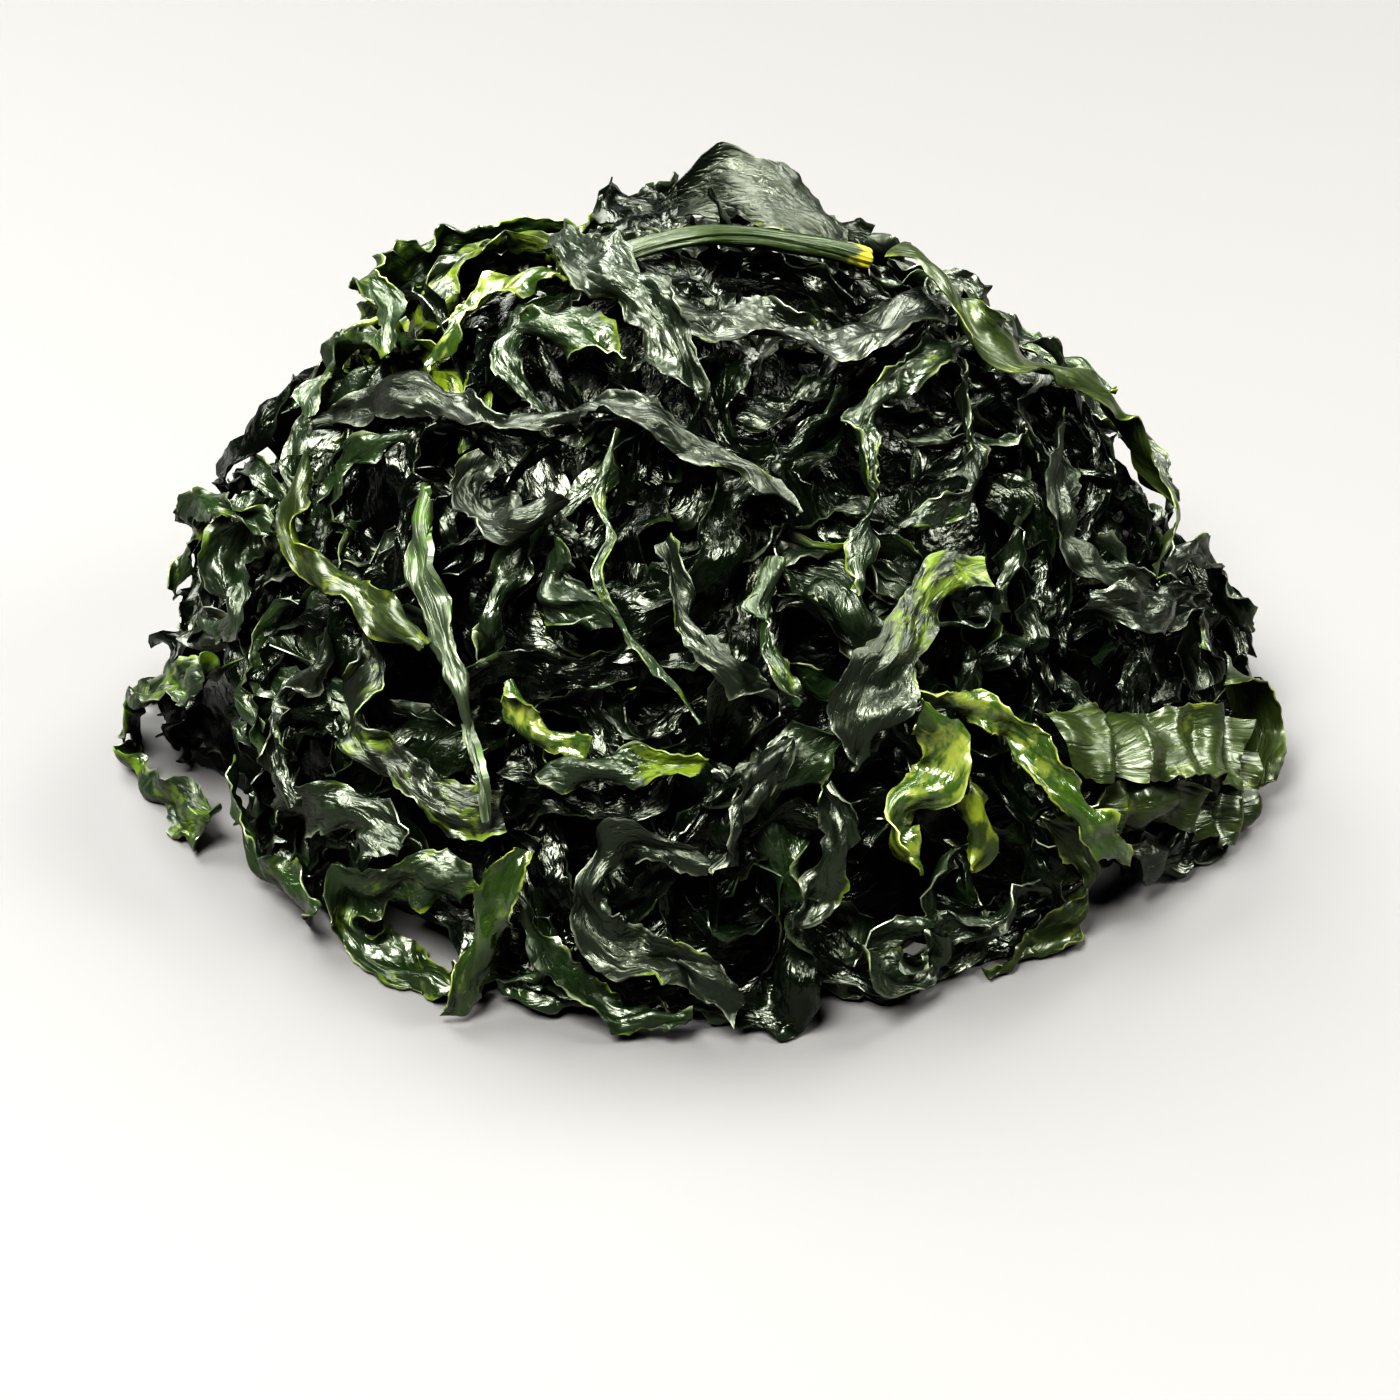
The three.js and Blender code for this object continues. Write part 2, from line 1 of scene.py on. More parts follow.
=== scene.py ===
"""Salted wakame: a heap of cut frond strips, rinsed, glossy and limp, lit by soft studio light.

Strips are worked out in millimetres, by the same rule as their solids: a direction is a bearing (0 towards
the viewer, positive to the right) and a fall (0 straight up, 90 level with the ground), in degrees, and a
lift is a height above the heap's mean surface along that direction. Meshes are in metres.
"""
import math

import bpy
import numpy as np
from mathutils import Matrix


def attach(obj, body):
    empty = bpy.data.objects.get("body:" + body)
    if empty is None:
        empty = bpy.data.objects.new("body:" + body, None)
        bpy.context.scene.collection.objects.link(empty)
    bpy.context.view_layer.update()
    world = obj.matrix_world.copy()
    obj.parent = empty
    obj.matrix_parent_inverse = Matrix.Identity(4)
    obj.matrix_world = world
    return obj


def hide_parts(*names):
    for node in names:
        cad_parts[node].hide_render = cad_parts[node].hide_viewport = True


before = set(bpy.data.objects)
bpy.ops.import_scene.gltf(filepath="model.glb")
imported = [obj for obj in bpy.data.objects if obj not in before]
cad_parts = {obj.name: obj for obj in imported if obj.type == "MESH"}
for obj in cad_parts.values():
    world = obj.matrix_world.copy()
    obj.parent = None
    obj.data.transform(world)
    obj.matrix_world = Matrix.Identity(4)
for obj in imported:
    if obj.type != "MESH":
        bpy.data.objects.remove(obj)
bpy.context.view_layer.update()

MM = 0.001

# The heap and the rule that lays its strips, as in its solids
HEAP_AXES = np.array([107.0, 94.0, 107.0])  # half width, half depth, height
HEAP_FULLNESS = 1.65
GROUND_GAP = 0.9
ROW_STEP = 7.5
FEWEST_ROWS = 5
MOST_ROWS = 19
ROUTE_STEPS = 8
EDGE_RUFFLE = 0.55
MIDDLE_RUFFLE = 0.19
WAVE_WIDTHS = 2.3
WAVE_EXTRA = 9.2
WIDTH_SWING = 0.14
WIDTH_SWING_PACE = 0.63
END_TAPER = 0.62
END_SHARPNESS = 5
ROLL_WANDER = 12
ROLL_WANDER_TURNS = 7
LAY_GAP = 1.4
LAY_CELL = 1.3
LAY_SLOPE = 0.6
CORE_DEPTH = 15
CORE_FURROW = 4
GOLDEN_ANGLE = 137.508

LOOP_COUNT = 68
LOOP_ROWS = 7
LOOP_WIDTHS = (7, 11)
LOOP_ROOT = -20
LOOP_CRESTS = (-9, -2)
LOOP_FULLNESS = 0.7
LOOP_STRIDE = 13
LOOP_TURN = 0.5
LOOP_ROLL = 70
LOOP_TWIST = 120
LOOP_LOWEST = 88
LOOP_RING = 0.3  # near the top a route spreads in bearing as if it were this far out

FAR_SIDE_COUNT = 12
FAR_SIDE_TIER = 7
FAR_SIDE_BEARING = 118
FAR_SIDE_STEP = 21
FAR_SIDE_FALLS = (62, 26)
FAR_SIDE_SPREAD = 10
FAR_SIDE_STOPS = 5
FAR_SIDE_LEAN = 26
FAR_SIDE_WANDER = 22
FAR_SIDE_FALL_STEP = 8
FAR_SIDE_LOWEST = 89
FAR_SIDE_WIDTHS = (7, 12)
FAR_SIDE_ROLL = 60
FAR_SIDE_TWIST = 120
FAR_SIDE_KINDS = ("dark", "dark", "green", "dark", "lime", "dark", "green")

# The fine finish of a frond
FROND_THICKNESS = 0.28
RIB_THICKNESS = 1.1
ROW_FINENESS = 0.78  # spacing of the fine cross-sections along a strip
STRIP_COLUMNS = 24
LOOP_FINE = (52, 9)  # fine rows and columns of a loop of the heart
FILL_FINE = (50, 9)  # and of a loose strip
PALE_EDGE_AND_HIGHLIGHT_WIDTH = 0.35  # how wide the pale cut edge of a frond shows: partly its thin edge, partly painted highlight of the light it catches
EDGE_LIP = 0.5  # how far a cut edge turns up or down

# How a frond crumples. Waves are lengths along it.
CURL_ANGLE = 1.6  # radians that an edge rolls in or out from the middle
CURL_WAVES = (31, 19)
GATHER_WAVES = (29, 17)
GATHER_LOSS = 0.4  # the share of its width that a frond loses where it gathers
FULL_FOLD_HALF = 5.5  # a frond narrower than this from middle to edge has smaller folds
# Fine folds: how far apart they are and how high, and how far they lean from the strip's length in radians
FOLDS = ((10.0, 1.4, 0.2), (5.6, 0.65, 0.35), (3.1, 0.22, 0.4), (22.0, 1.8, 1.4))
PLEAT_SPACING = 9
FRILL_RISE = 1.3
FRILL_WAVES = (9, 15)
CRINKLE_RISE = 0.42  # fine waves on the frill, at the very edge
TORN = ((0.36, (5.5, 3.7, 9)), (0.28, (2.3, 3.1)))  # how deep the torn edge goes, and in what waves
END_SLANT = 0.6
END_REACH = 7
LOBES = 6  # wider and narrower places along a frond
STRIP_LOBES = (0.8, 1.15)  # how much narrower and wider
FILL_LOBES = (0.5, 1.2)
UV_UNIT = 10  # millimetres of frond to one unit of its UV map
FLOOR_CLEARANCE = 0.35  # no frond comes closer to the ground than this

# Loose strips that fill the gaps under the ones that show, and the upper left where they stand higher
SHOULDER = (-100, 33)
SHOULDER_RISE = 11
SHOULDER_REACH = 21  # how far from its middle, in degrees, the strips are green and lime: partly young frond, partly painted glow of the back light through them
FILL_COUNT = 204
FILL_WIDTHS = (6.5, 14)
FILL_ROLL = 150
FILL_TWIST = 280
FILL_STRIDE = 8  # degrees of direction between the points of a route
FILL_TURN = 75  # degrees that it turns at most at each of them
FILL_RING = 0.25  # as LOOP_RING
FILL_FALLS = (3, 88)
FILL_LIFTS = (-13, -1)
FILL_SWING = 2.5
FILL_GAP = 1.2  # how far under the strips that show a loose one stays
FILL_SLOPE = 0.9
ARCH_ROOM = 2.5  # air left under a strip that arches clear of the heap
ARCH_RISE = 12

# The loose strips are joined in these pieces. The last one holds those of the upper left, lime partly as
# young frond and partly as painted glow of the back light.
# The inner ones take the inner material, whose near-black is painted shade.
LOOSE_PIECES = ("dark_1", "green_1", "inner_1", "inner_2", "inner_3", "inner_4", "green_2")
YOUNG_AND_PAINTED_GLOW_PIECE = LOOSE_PIECES[-1]

# The dark hollows between the strips: their bearing and fall, how far the loose strips sink in them, and
# how wide they are in degrees
HOLLOWS = (
    (-28, 29), (2, 58), (10, 67), (18, 76), (24, 33), (-10, 36), (54, 49), (61, 57), (-19, 51), (-38, 58),
    (37, 68), (22, 8), (58, 29), (20, 22))
HOLLOW_DEPTH = 9
HOLLOW_SPREAD = 6
HOLLOW_EDGE = 0.3  # strips that lie deeper in a hollow than this share don't rise

# The round stalk's width and depth at places along it, and where its pale cut end begins
STALK_WIDTHS = ((0, 0.5, 1), (4, 4.6, 4.4))
STALK_DEPTHS = ((0, 0.5, 1), (2.6, 3.2, 3.6))
STALK_CUT = (0.88, 0.95)

# name: kind, width, roll, twist, rise, route of bearing and fall. Listed as they are laid, lowest first.
FRONT_STRIPS = {
    "front_left_blade": ("green", 11, 30, 50, 0, [(-26, 75), (-38, 80), (-42, 86), (-35, 90), (-24, 88)]),
    "floor_left_strip": ("green", 9, -20, 60, 0, [(-64, 77), (-59, 82), (-52, 86), (-44, 85)]),
    "floor_middle_curl": ("dark", 9, 35, -70, 0, [(18, 80), (20, 84), (22, 86), (26, 86), (27, 82)]),
    "floor_right_strip": ("green", 8, -10, 25, 0, [(44, 74), (48, 83), (42, 89), (33, 91)]),
    "floor_wave_strip": ("green", 6, 60, 20, 0, [(-21, 75), (-16, 82), (-9, 87), (-1, 87)]),
    "right_low_blade": ("dark", 10, 25, -30, 0, [(53, 83), (58, 86), (66, 89), (73, 90)]),
    "left_low_blade": ("dark", 11, -20, 30, 0, [(-54, 77), (-44, 73), (-35, 74)]),
    "left_crumple": ("dark", 11, 35, -60, 0, [(-80, 53), (-80, 57), (-77, 61), (-72, 63), (-74, 67)]),
    "far_left_blade": (
        "dark", 12, -30, 70, 0,
        [(-68, 68), (-75, 74), (-81, 80), (-88, 86), (-86, 90), (-76, 89), (-66, 86)]),
    "far_right_tail": ("dark", 7, 10, 50, 0, [(76, 60), (86, 64), (91, 70), (89, 77)]),
    "right_grey_blade": (
        "dark", 11, 15, -25, 0,
        [(80, 42), (70, 44), (66, 46), (64, 51), (67, 56), (73, 61)]),
    "right_shoulder_blade": ("dark", 10, 20, 40, 0, [(58, 55), (68, 61), (78, 66), (74, 74)]),
    "middle_crumple": ("dark", 11, -15, 45, 0, [(-24, 37), (-24, 42), (-21, 44), (-16, 46)]),
    "middle_left_fold": ("dark", 9, 25, -55, 0, [(-46, 32), (-46, 36), (-38, 38), (-30, 37), (-26, 34)]),
    "middle_pale_strip": ("dark", 7, 40, 60, 0, [(-6, 36), (-3, 43), (2, 48), (10, 53)]),
    "middle_leaf": ("green", 7.5, 50, 30, 0, [(13, 38), (11, 41), (9, 44), (10, 49), (12, 53)]),
    "lime_chip": ("lime", 6.5, -10, 70, 0, [(-26, 53), (-24, 56), (-22, 58), (-18, 58), (-14, 58)]),
    "lime_end_strip": ("green", 7, 15, -60, 0, [(-20, 62), (-10, 60), (1, 59)]),
    "narrow_front_strip": ("dark", 6.5, 30, 80, 0, [(12, 57), (8, 60), (6, 63), (4, 66), (4, 70)]),
    "front_loop": (
        "dark", 8, 10, 60, 0,
        [(1, 70), (-4, 68), (-9, 68), (-12, 72), (-12, 76), (-9, 80), (-4, 80), (0, 82), (4, 86)]),
    "front_hook": ("dark", 7, -25, 70, 0, [(16, 62), (16, 65), (16, 68), (14, 73), (12, 77), (10, 78)]),
    "left_hanging_strip": (
        "dark", 7.5, 10, 40, 0,
        [(-57, 57), (-56, 60), (-58, 66), (-54, 68), (-52, 71), (-48, 74)]),
    "left_drape": (
        "dark", 9.5, 10, 65, 0,
        [(-50, 54), (-48, 58), (-48, 63), (-42, 66), (-38, 66), (-33, 68), (-27, 68), (-24, 67)]),
    "lime_tip": ("lime", 8, 20, 40, 0, [(-20, 70), (-23, 79), (-25, 89)]),
    "pleated_low_blade": ("green", 13, -15, 20, 0, [(46, 74), (52, 77), (60, 80), (68, 85), (74, 88)]),
    "pleated_blade": ("green", 14, 20, -25, 0, [(47, 66), (54, 70), (61, 73), (68, 77), (73, 83)]),
    "far_right_blade": ("green", 12, 50, 30, 0, [(79, 75), (84, 80), (83, 86), (77, 90)]),
    "olive_stub": ("green", 6, 15, -20, 0, [(34, 66), (34, 70), (34, 74), (32, 76)]),
    "lime_leaf": (
        "lime", 6.5, -30, 50, 0,
        [(28, 54), (34, 57), (40, 60), (42, 63), (43, 67), (44, 71), (46, 76), (50, 81)]),
    "lime_ribbon": (
        "lime", 10, 10, 90, 0,
        [(28, 57), (31, 60), (31, 64), (27, 66), (23, 67), (23, 70), (26, 74)]),
    "tongue_blade": (
        "dark", 10.5, 10, 30, 0,
        [(47, 46), (42, 44), (36, 46), (30, 49), (25, 52), (21, 56), (20, 62)]),
    "right_crumple_low": (
        "dark", 6, 45, -60, 0,
        [(76, 29), (68, 30), (63, 32), (59, 36), (52, 38), (46, 38), (41, 38), (37, 38)]),
    "right_crumple": (
        "green", 6.5, 35, 60, 0,
        [(75, 28), (60, 25), (47, 25), (38, 28), (35, 32), (34, 35), (29, 38), (26, 41), (24, 43)]),
    "thin_string": (
        "green", 2.5, 20, 60, 0,
        [(-20, 25), (-20, 30), (-22, 32), (-16, 34), (-16, 38), (-16, 41), (-13, 44), (-8, 48), (-2, 52),
         (0, 55)]),
    "rib_strip": (
        "rib", 6.5, 5, 20, 0,
        [(-54, 38), (-51, 41), (-47, 45), (-42, 48), (-38, 51), (-33, 55), (-30, 60), (-26, 64), (-25, 68)]),
    "olive_blade": (
        "green", 7.5, 10, 40, 0,
        [(-79, 46), (-76, 48), (-74, 52), (-66, 53), (-56, 52), (-48, 52), (-38, 52)]),
    "lime_arch": (
        "lime", 8.5, 15, 30, 0,
        [(-76, 30), (-78, 25), (-82, 22), (-86, 18), (-84, 16), (-70, 14)]),
    "folded_leaf": ("green", 9, -10, 40, 0, [(-66, 20), (-55, 18), (-38, 17), (-24, 18)]),
    "midrib_stalk": ("rib", 4.5, 0, 0, 0, [(-70, 9), (37, 2), (84, 8), (94, 14), (97, 17)]),
    "long_sash": (
        "dark", 8.5, 20, 60, 0,
        [(-84, 44), (-78, 38), (-68, 32), (-61, 30), (-52, 30), (-46, 28), (-34, 24), (-22, 24), (-8, 25),
         (4, 27), (12, 30), (18, 34)]),
    "crescent_blade": (
        "dark", 11.5, 20, -30, 0,
        [(-43, 10), (-14, 11), (8, 12), (20, 13), (34, 15), (46, 18), (62, 20), (76, 22), (89, 24)]),
    "central_strip": (
        "dark", 9.5, -15, 40, 0,
        [(-110, 16), (-54, 12), (-32, 12), (-17, 14), (-8, 17), (0, 21)]),
    "left_curl": ("green", 10, 30, 60, 0, [(-83, 44), (-92, 42), (-91, 38), (-88, 34), (-76, 31)]),
    "far_left_arch": ("green", 6.5, 35, 50, 0, [(-72, 53), (-80, 56), (-87, 61), (-92, 67), (-91, 73)]),
    "top_left_loop": (
        "green", 10, 40, 20, 5,
        [(-72, 32), (-80, 30), (-90, 31), (-102, 32), (-111, 32), (-116, 30), (-120, 26), (-127, 22),
         (-136, 19)]),
    "long_arch": (
        "green", 7.5, 20, 30, 3,
        [(94, 19), (81, 22), (73, 26), (71, 30), (79, 36), (83, 42), (88, 49), (85, 54), (80, 56), (72, 56),
         (68, 57)]),
    "top_fold": ("dark", 13, -45, 30, 3, [(-170, 13), (165, 12), (140, 12), (117, 17)]),
}

# How each kind of strip is finished. crumple, curl and frill scale its fine folds, the rolling in of its
# edges and the waves along them; ripple is the rise of its cross pleats; rim is how much of its edge is
# lime, body how lime it is all over, and tone how green the dark frond is. leafy and lime_end are how far
# its first and last end are lime, and widths its shares of width at places along it.
KIND_FINISH = {
    "dark": {"crumple": 1.0, "curl": 1.0, "frill": 1.0, "ripple": 0.0, "rim": 0.08, "body": 0.0, "tone": 0.2},
    "green": {
        "crumple": 0.8, "curl": 1.0, "frill": 1.0, "ripple": 0.0, "rim": 0.4, "body": 0.12, "tone": 0.5},
    "lime": {"crumple": 0.5, "curl": 1.0, "frill": 1.0, "ripple": 0.0, "rim": 0.9, "body": 0.42, "tone": 0.8},
    "rib": {"crumple": 0.45, "curl": 1.4, "frill": 0.4, "ripple": 0.0, "rim": 0.2, "body": 0.0, "tone": 0.6},
}
STRIP_FINISH = {
    "rib_strip": {"widths": ((0, 0.1, 0.25, 0.4, 0.7, 1), (0.8, 1.3, 1.0, 0.75, 0.36, 0.3)), "leafy": 22},
    "pleated_blade": {"ripple": 2.6, "crumple": 0.2, "curl": 0.3, "frill": 0.8, "rim": 0.2, "tone": 0.75},
    "pleated_low_blade": {"ripple": 2.6, "crumple": 0.2, "curl": 0.3, "frill": 0.8, "rim": 0.2, "tone": 0.7},
    "far_right_blade": {"crumple": 0.2, "curl": 0.6, "frill": 0.5, "tone": 0.8},
    "lime_ribbon": {"crumple": 0.4, "curl": 0.9, "body": 0.42},
    "lime_tip": {"body": 0.12, "rim": 0.6, "tone": 0.3},
    "lime_end_strip": {"body": 0.0, "rim": 0.2, "tone": 0.15, "lime_end": 14},
    "floor_wave_strip": {"body": 0.04, "rim": 0.35, "tone": 0.2},
    "front_left_blade": {"body": 0.15, "rim": 0.4, "tone": 0.3},
    "far_left_blade": {"body": 0.3, "rim": 0.4, "tone": 0.3},
    "left_drape": {"body": 0.2, "rim": 0.5},
    "olive_blade": {"crumple": 0.25, "curl": 0.9, "frill": 0.3, "rim": 0.9, "body": 0.16, "tone": 0.8},
    "top_fold": {"crumple": 0.2, "curl": 0.5, "frill": 0.4, "rim": 0.0, "tone": 0.0},
    "right_crumple": {"rim": 0.7, "tone": 0.3, "body": 0.12},
    "right_crumple_low": {"rim": 0.6, "tone": 0.3, "body": 0.1},
    "crescent_blade": {"crumple": 0.8, "curl": 0.8, "frill": 0.7, "rim": 0.1, "tone": 0.1},
    "long_sash": {"crumple": 0.8, "curl": 0.8, "frill": 0.6, "rim": 0.1, "tone": 0.1},
    "tongue_blade": {
        "crumple": 0.8, "curl": 0.6, "frill": 0.7, "rim": 0.1, "tone": 0.1, "leafy": 30,
        "widths": ((0, 0.3, 0.5, 0.75, 0.9, 1), (0.9, 0.9, 1.1, 1.2, 0.8, 0.3))},
    "olive_stub": {"crumple": 0.4, "body": 0.6, "tone": 0.9},
    "lime_leaf": {"crumple": 0.5, "body": 0.2, "tone": 0.9, "leafy": 40},
    "long_arch": {
        "crumple": 0.25, "curl": 0.8, "frill": 0.3, "rim": 0.2, "tone": 0.7,
        "widths": ((0, 0.3, 0.6, 1), (1.3, 1.3, 0.9, 0.8))},
    "thin_string": {
        "crumple": 0.2, "curl": 0.3, "frill": 0.3, "rim": 0.4, "tone": 0.3,
        "widths": ((0, 0.2, 0.35, 0.5, 0.65, 0.8, 1), (0.5, 0.9, 0.35, 0.8, 0.4, 0.7, 0.4))},
}


def seeded_draws(seed):
    """A repeatable stream of draws between 0 and 1."""
    state = seed
    while True:
        state = (state * 1664525 + 1013904223) % 4294967296
        yield state / 4294967296


def direction(bearing, fall):
    bearing, fall = np.radians(bearing), np.radians(fall)
    level = np.sin(fall)
    return np.stack([level * np.sin(bearing), -level * np.cos(bearing), np.cos(fall)], axis=-1)


def unit(vectors):
    return vectors / np.linalg.norm(vectors, axis=-1, keepdims=True)


def heap_radius(ways):
    """Distance from the origin to the heap's mean surface along each direction."""
    return np.sum(np.abs(ways / HEAP_AXES) ** HEAP_FULLNESS, axis=-1) ** (-1 / HEAP_FULLNESS)


def lift_of(points):
    return np.linalg.norm(points, axis=-1) - heap_radius(unit(points))


def catmull_rom(a, b, c, d, t):
    bend = (2 * a - 5 * b + 4 * c - d) * t + (3 * b - a - 3 * c + d) * t * t
    return 0.5 * (2 * b + (c - a) * t + bend * t)


def between(rows, places):
    """The smooth curve through a list of rows, at fractional places in it."""
    last = len(rows) - 1
    k = np.clip(np.floor(places).astype(int), 0, last - 1)
    t = (places - k).reshape((-1,) + (1,) * (rows.ndim - 1))
    around = [rows[np.clip(k + step, 0, last)] for step in (-1, 0, 1, 2)]
    return catmull_rom(*around, t)


def even_directions(route, rows=None):
    """Directions at equal steps along a smooth route through the given ones, and the route's length."""
    bearings, falls = np.array(route, dtype=float).T
    stops = direction(bearings, falls)
    places = np.arange((len(stops) - 1) * ROUTE_STEPS + 1) / ROUTE_STEPS
    ways = unit(between(stops, places))
    points = ways * heap_radius(ways)[:, None]
    run = np.concatenate([[0], np.cumsum(np.linalg.norm(np.diff(points, axis=0), axis=1))])
    length = run[-1]
    count = rows or min(max(math.floor(length / ROW_STEP + 0.5), FEWEST_ROWS), MOST_ROWS)
    stations = length * np.arange(count + 1) / count
    k = np.clip(np.searchsorted(run, stations), 1, len(run) - 1)
    share = ((stations - run[k - 1]) / (run[k] - run[k - 1]))[:, None]
    return unit(points[k - 1] * (1 - share) + points[k] * share), length


def shape_strip(strip, draw, sides=(-1, 0, 1), rows=None):
    """A strip's cross-sections: their directions, and where their points lie from its middle."""
    ways, length = even_directions(strip["route"], rows)
    middles = ways * heap_radius(ways)[:, None]
    half = strip["width"] / 2
    wave = 2 * math.pi * length / (WAVE_WIDTHS * strip["width"] + WAVE_EXTRA)
    phases = [next(draw) * 2 * math.pi, next(draw) * 2 * math.pi]
    ruffle = 0 if strip["kind"] == "rib" else half
    count = len(ways)
    after = middles[np.minimum(np.arange(count) + 1, count - 1)]
    before = middles[np.maximum(np.arange(count) - 1, 0)]
    along = unit(after - before)
    side = unit(np.cross(along, ways))
    out = unit(np.cross(side, along))
    t = np.arange(count) / (count - 1)
    wander = ROLL_WANDER * np.sin(ROLL_WANDER_TURNS * t + phases[0])
    roll = np.radians(strip["roll"] + strip["twist"] * (t - 0.5) + wander)[:, None]
    across = side * np.cos(roll) + out * np.sin(roll)
    up = out * np.cos(roll) - side * np.sin(roll)
    taper = 1 - END_TAPER * np.abs(2 * t - 1) ** END_SHARPNESS
    columns = []
    for edge in sides:
        phase = wave * t + phases[0 if edge < 0 else 1]
        reach = half * taper * (1 + WIDTH_SWING * np.sin(WIDTH_SWING_PACE * phase + 1))
        sway = MIDDLE_RUFFLE * np.sin(0.5 * wave * t + phases[0])
        height = ruffle * (sway if edge == 0 else EDGE_RUFFLE * np.sin(phase))
        columns.append(across * (edge * reach)[:, None] + up * height[:, None])
    return ways, np.stack(columns, axis=1)


def surface_of(ways, offsets, lifts, ground=GROUND_GAP):
    """A strip's middle surface, rows by columns of points, none of them below the ground."""
    points = ways[:, None, :] * (heap_radius(ways)[:, None] + lifts)[..., None] + offsets
    points[..., 2] = np.maximum(points[..., 2], ground)
    return points


class LiftMap:
    """The lift of what lies in each small cell of directions, looked up with the cells round it."""

    def __init__(self, pick, nothing):
        self.pick = pick
        self.nothing = nothing
        self.reach = math.ceil(130 / LAY_CELL)
        self.lifts = np.full((2 * self.reach + 1, 2 * self.reach + 1), nothing)

    def cell_of(self, points):
        fall = np.degrees(np.arccos(points[..., 2] / np.linalg.norm(points, axis=-1)))
        bearing = np.arctan2(points[..., 0], -points[..., 1])
        spans = (fall * np.sin(bearing), fall * np.cos(bearing))
        return tuple(np.floor(span / LAY_CELL + 0.5).astype(int) + self.reach for span in spans)

    def cover(self, surface):
        points = spread_points(surface)[2]
        self.pick.at(self.lifts, self.cell_of(points), lift_of(points))

    def near(self, points):
        u, v = self.cell_of(points)
        best = np.full(len(points), self.nothing)
        for du in (-1, 0, 1):
            for dv in (-1, 0, 1):
                best = self.pick(best, self.lifts[u + du, v + dv])
        return best


def spread_points(surface):
    """Points spread over a surface, each with the row and column of the corner that it is nearest to."""
    steps = np.array([0.1, 0.3, 0.5, 0.7, 0.9])
    i, j, u, v = np.meshgrid(
        np.arange(surface.shape[0] - 1), np.arange(surface.shape[1] - 1), steps, steps, indexing="ij")
    i, j, u, v = i.ravel(), j.ravel(), u.ravel(), v.ravel()
    wide, long = v[:, None], u[:, None]
    near = surface[i, j] * (1 - wide) + surface[i, j + 1] * wide
    far = surface[i + 1, j] * (1 - wide) + surface[i + 1, j + 1] * wide
    rows = np.floor(i + u + 0.5).astype(int)
    columns = np.floor(j + v + 0.5).astype(int)
    return rows, columns, near * (1 - long) + far * long


def draped(surface, needed, slope):
    """How far each corner moves when the needs of the corners round it fade with distance."""
    corners = surface.reshape(-1, 3)
    apart = np.linalg.norm(corners[:, None] - corners[None], axis=2)
    pulls = needed.reshape(-1)[None] - slope * np.maximum(apart - ROW_STEP / 2, 0)
    return np.maximum(pulls.max(axis=1), 0).reshape(needed.shape)


def lay(strip, draw, laid):
    """Lays a strip over those already there: each corner is raised as what lies under it asks."""
    ways, offsets = shape_strip(strip, draw)
    level = np.zeros(offsets.shape[:2])
    surface = surface_of(ways, offsets, level)
    rows, columns, points = spread_points(surface)
    needed = np.zeros(offsets.shape[:2])
    np.maximum.at(needed, (rows, columns), laid.near(points) + LAY_GAP - lift_of(points))
    arch = strip["rise"] * np.sin(math.pi * np.arange(len(ways)) / (len(ways) - 1))
    return surface_of(ways, offsets, draped(surface, needed, LAY_SLOPE) + arch[:, None])


def mix(low, high, share):
    return low + (high - low) * share


def heart_loops():
    """Loops of strip with both ends sunk in the core, spread evenly round it."""
    draw = seeded_draws(11)
    loops = []
    for k in range(LOOP_COUNT):
        width = mix(*LOOP_WIDTHS, next(draw))
        crest = mix(*LOOP_CRESTS, next(draw))
        fall = math.degrees(math.acos(1 - (k + 0.5) / LOOP_COUNT))
        spread = max(math.sin(math.radians(fall)), LOOP_RING)
        heading = 2 * math.pi * next(draw)
        route = []
        for stop in (-1.5, -0.5, 0.5, 1.5):
            turned = heading + LOOP_TURN * stop * (next(draw) - 0.5)
            aside = stop * LOOP_STRIDE * math.sin(turned) / spread
            down = stop * LOOP_STRIDE * math.cos(turned)
            route.append((k * GOLDEN_ANGLE + aside, min(fall + down, LOOP_LOWEST)))
        roll = LOOP_ROLL * (next(draw) - 0.5)
        twist = LOOP_TWIST * (next(draw) - 0.5)
        strip = {"kind": "dark", "width": width, "roll": roll, "twist": twist, "route": route}
        ways, offsets = shape_strip(strip, draw, (-1, 1), LOOP_ROWS)
        rise = np.sin(math.pi * np.arange(LOOP_ROWS + 1) / LOOP_ROWS).clip(0) ** LOOP_FULLNESS
        loops.append(surface_of(ways, offsets, mix(LOOP_ROOT, crest, rise)[:, None]))
    return loops


def far_side_strips():
    """Strips for the far side, in routes that wander down the heap."""
    draw = seeded_draws(5)
    strips = []
    for k in range(FAR_SIDE_COUNT):
        bearing = FAR_SIDE_BEARING + (k % FAR_SIDE_TIER) * FAR_SIDE_STEP
        bearing += FAR_SIDE_SPREAD * (next(draw) - 0.5)
        fall = FAR_SIDE_FALLS[k // FAR_SIDE_TIER] + FAR_SIDE_SPREAD * (next(draw) - 0.5)
        lean = FAR_SIDE_LEAN * (next(draw) - 0.5)
        route = []
        for _ in range(FAR_SIDE_STOPS):
            route.append((bearing, min(fall, FAR_SIDE_LOWEST)))
            bearing += lean + FAR_SIDE_WANDER * (next(draw) - 0.5)
            fall += FAR_SIDE_FALL_STEP * (1 + next(draw) / 2)
        strips.append({
            "name": f"far_side_strip_{k + 1:02d}",
            "kind": FAR_SIDE_KINDS[k % len(FAR_SIDE_KINDS)],
            "width": mix(*FAR_SIDE_WIDTHS, next(draw)),
            "roll": FAR_SIDE_ROLL * (next(draw) - 0.5),
            "twist": FAR_SIDE_TWIST * (next(draw) - 0.5),
            "rise": 0,
            "route": route,
        })
    return strips


def front_strips():
    keys = ("kind", "width", "roll", "twist", "rise", "route")
    return [{"name": name, **dict(zip(keys, facts))} for name, facts in FRONT_STRIPS.items()]


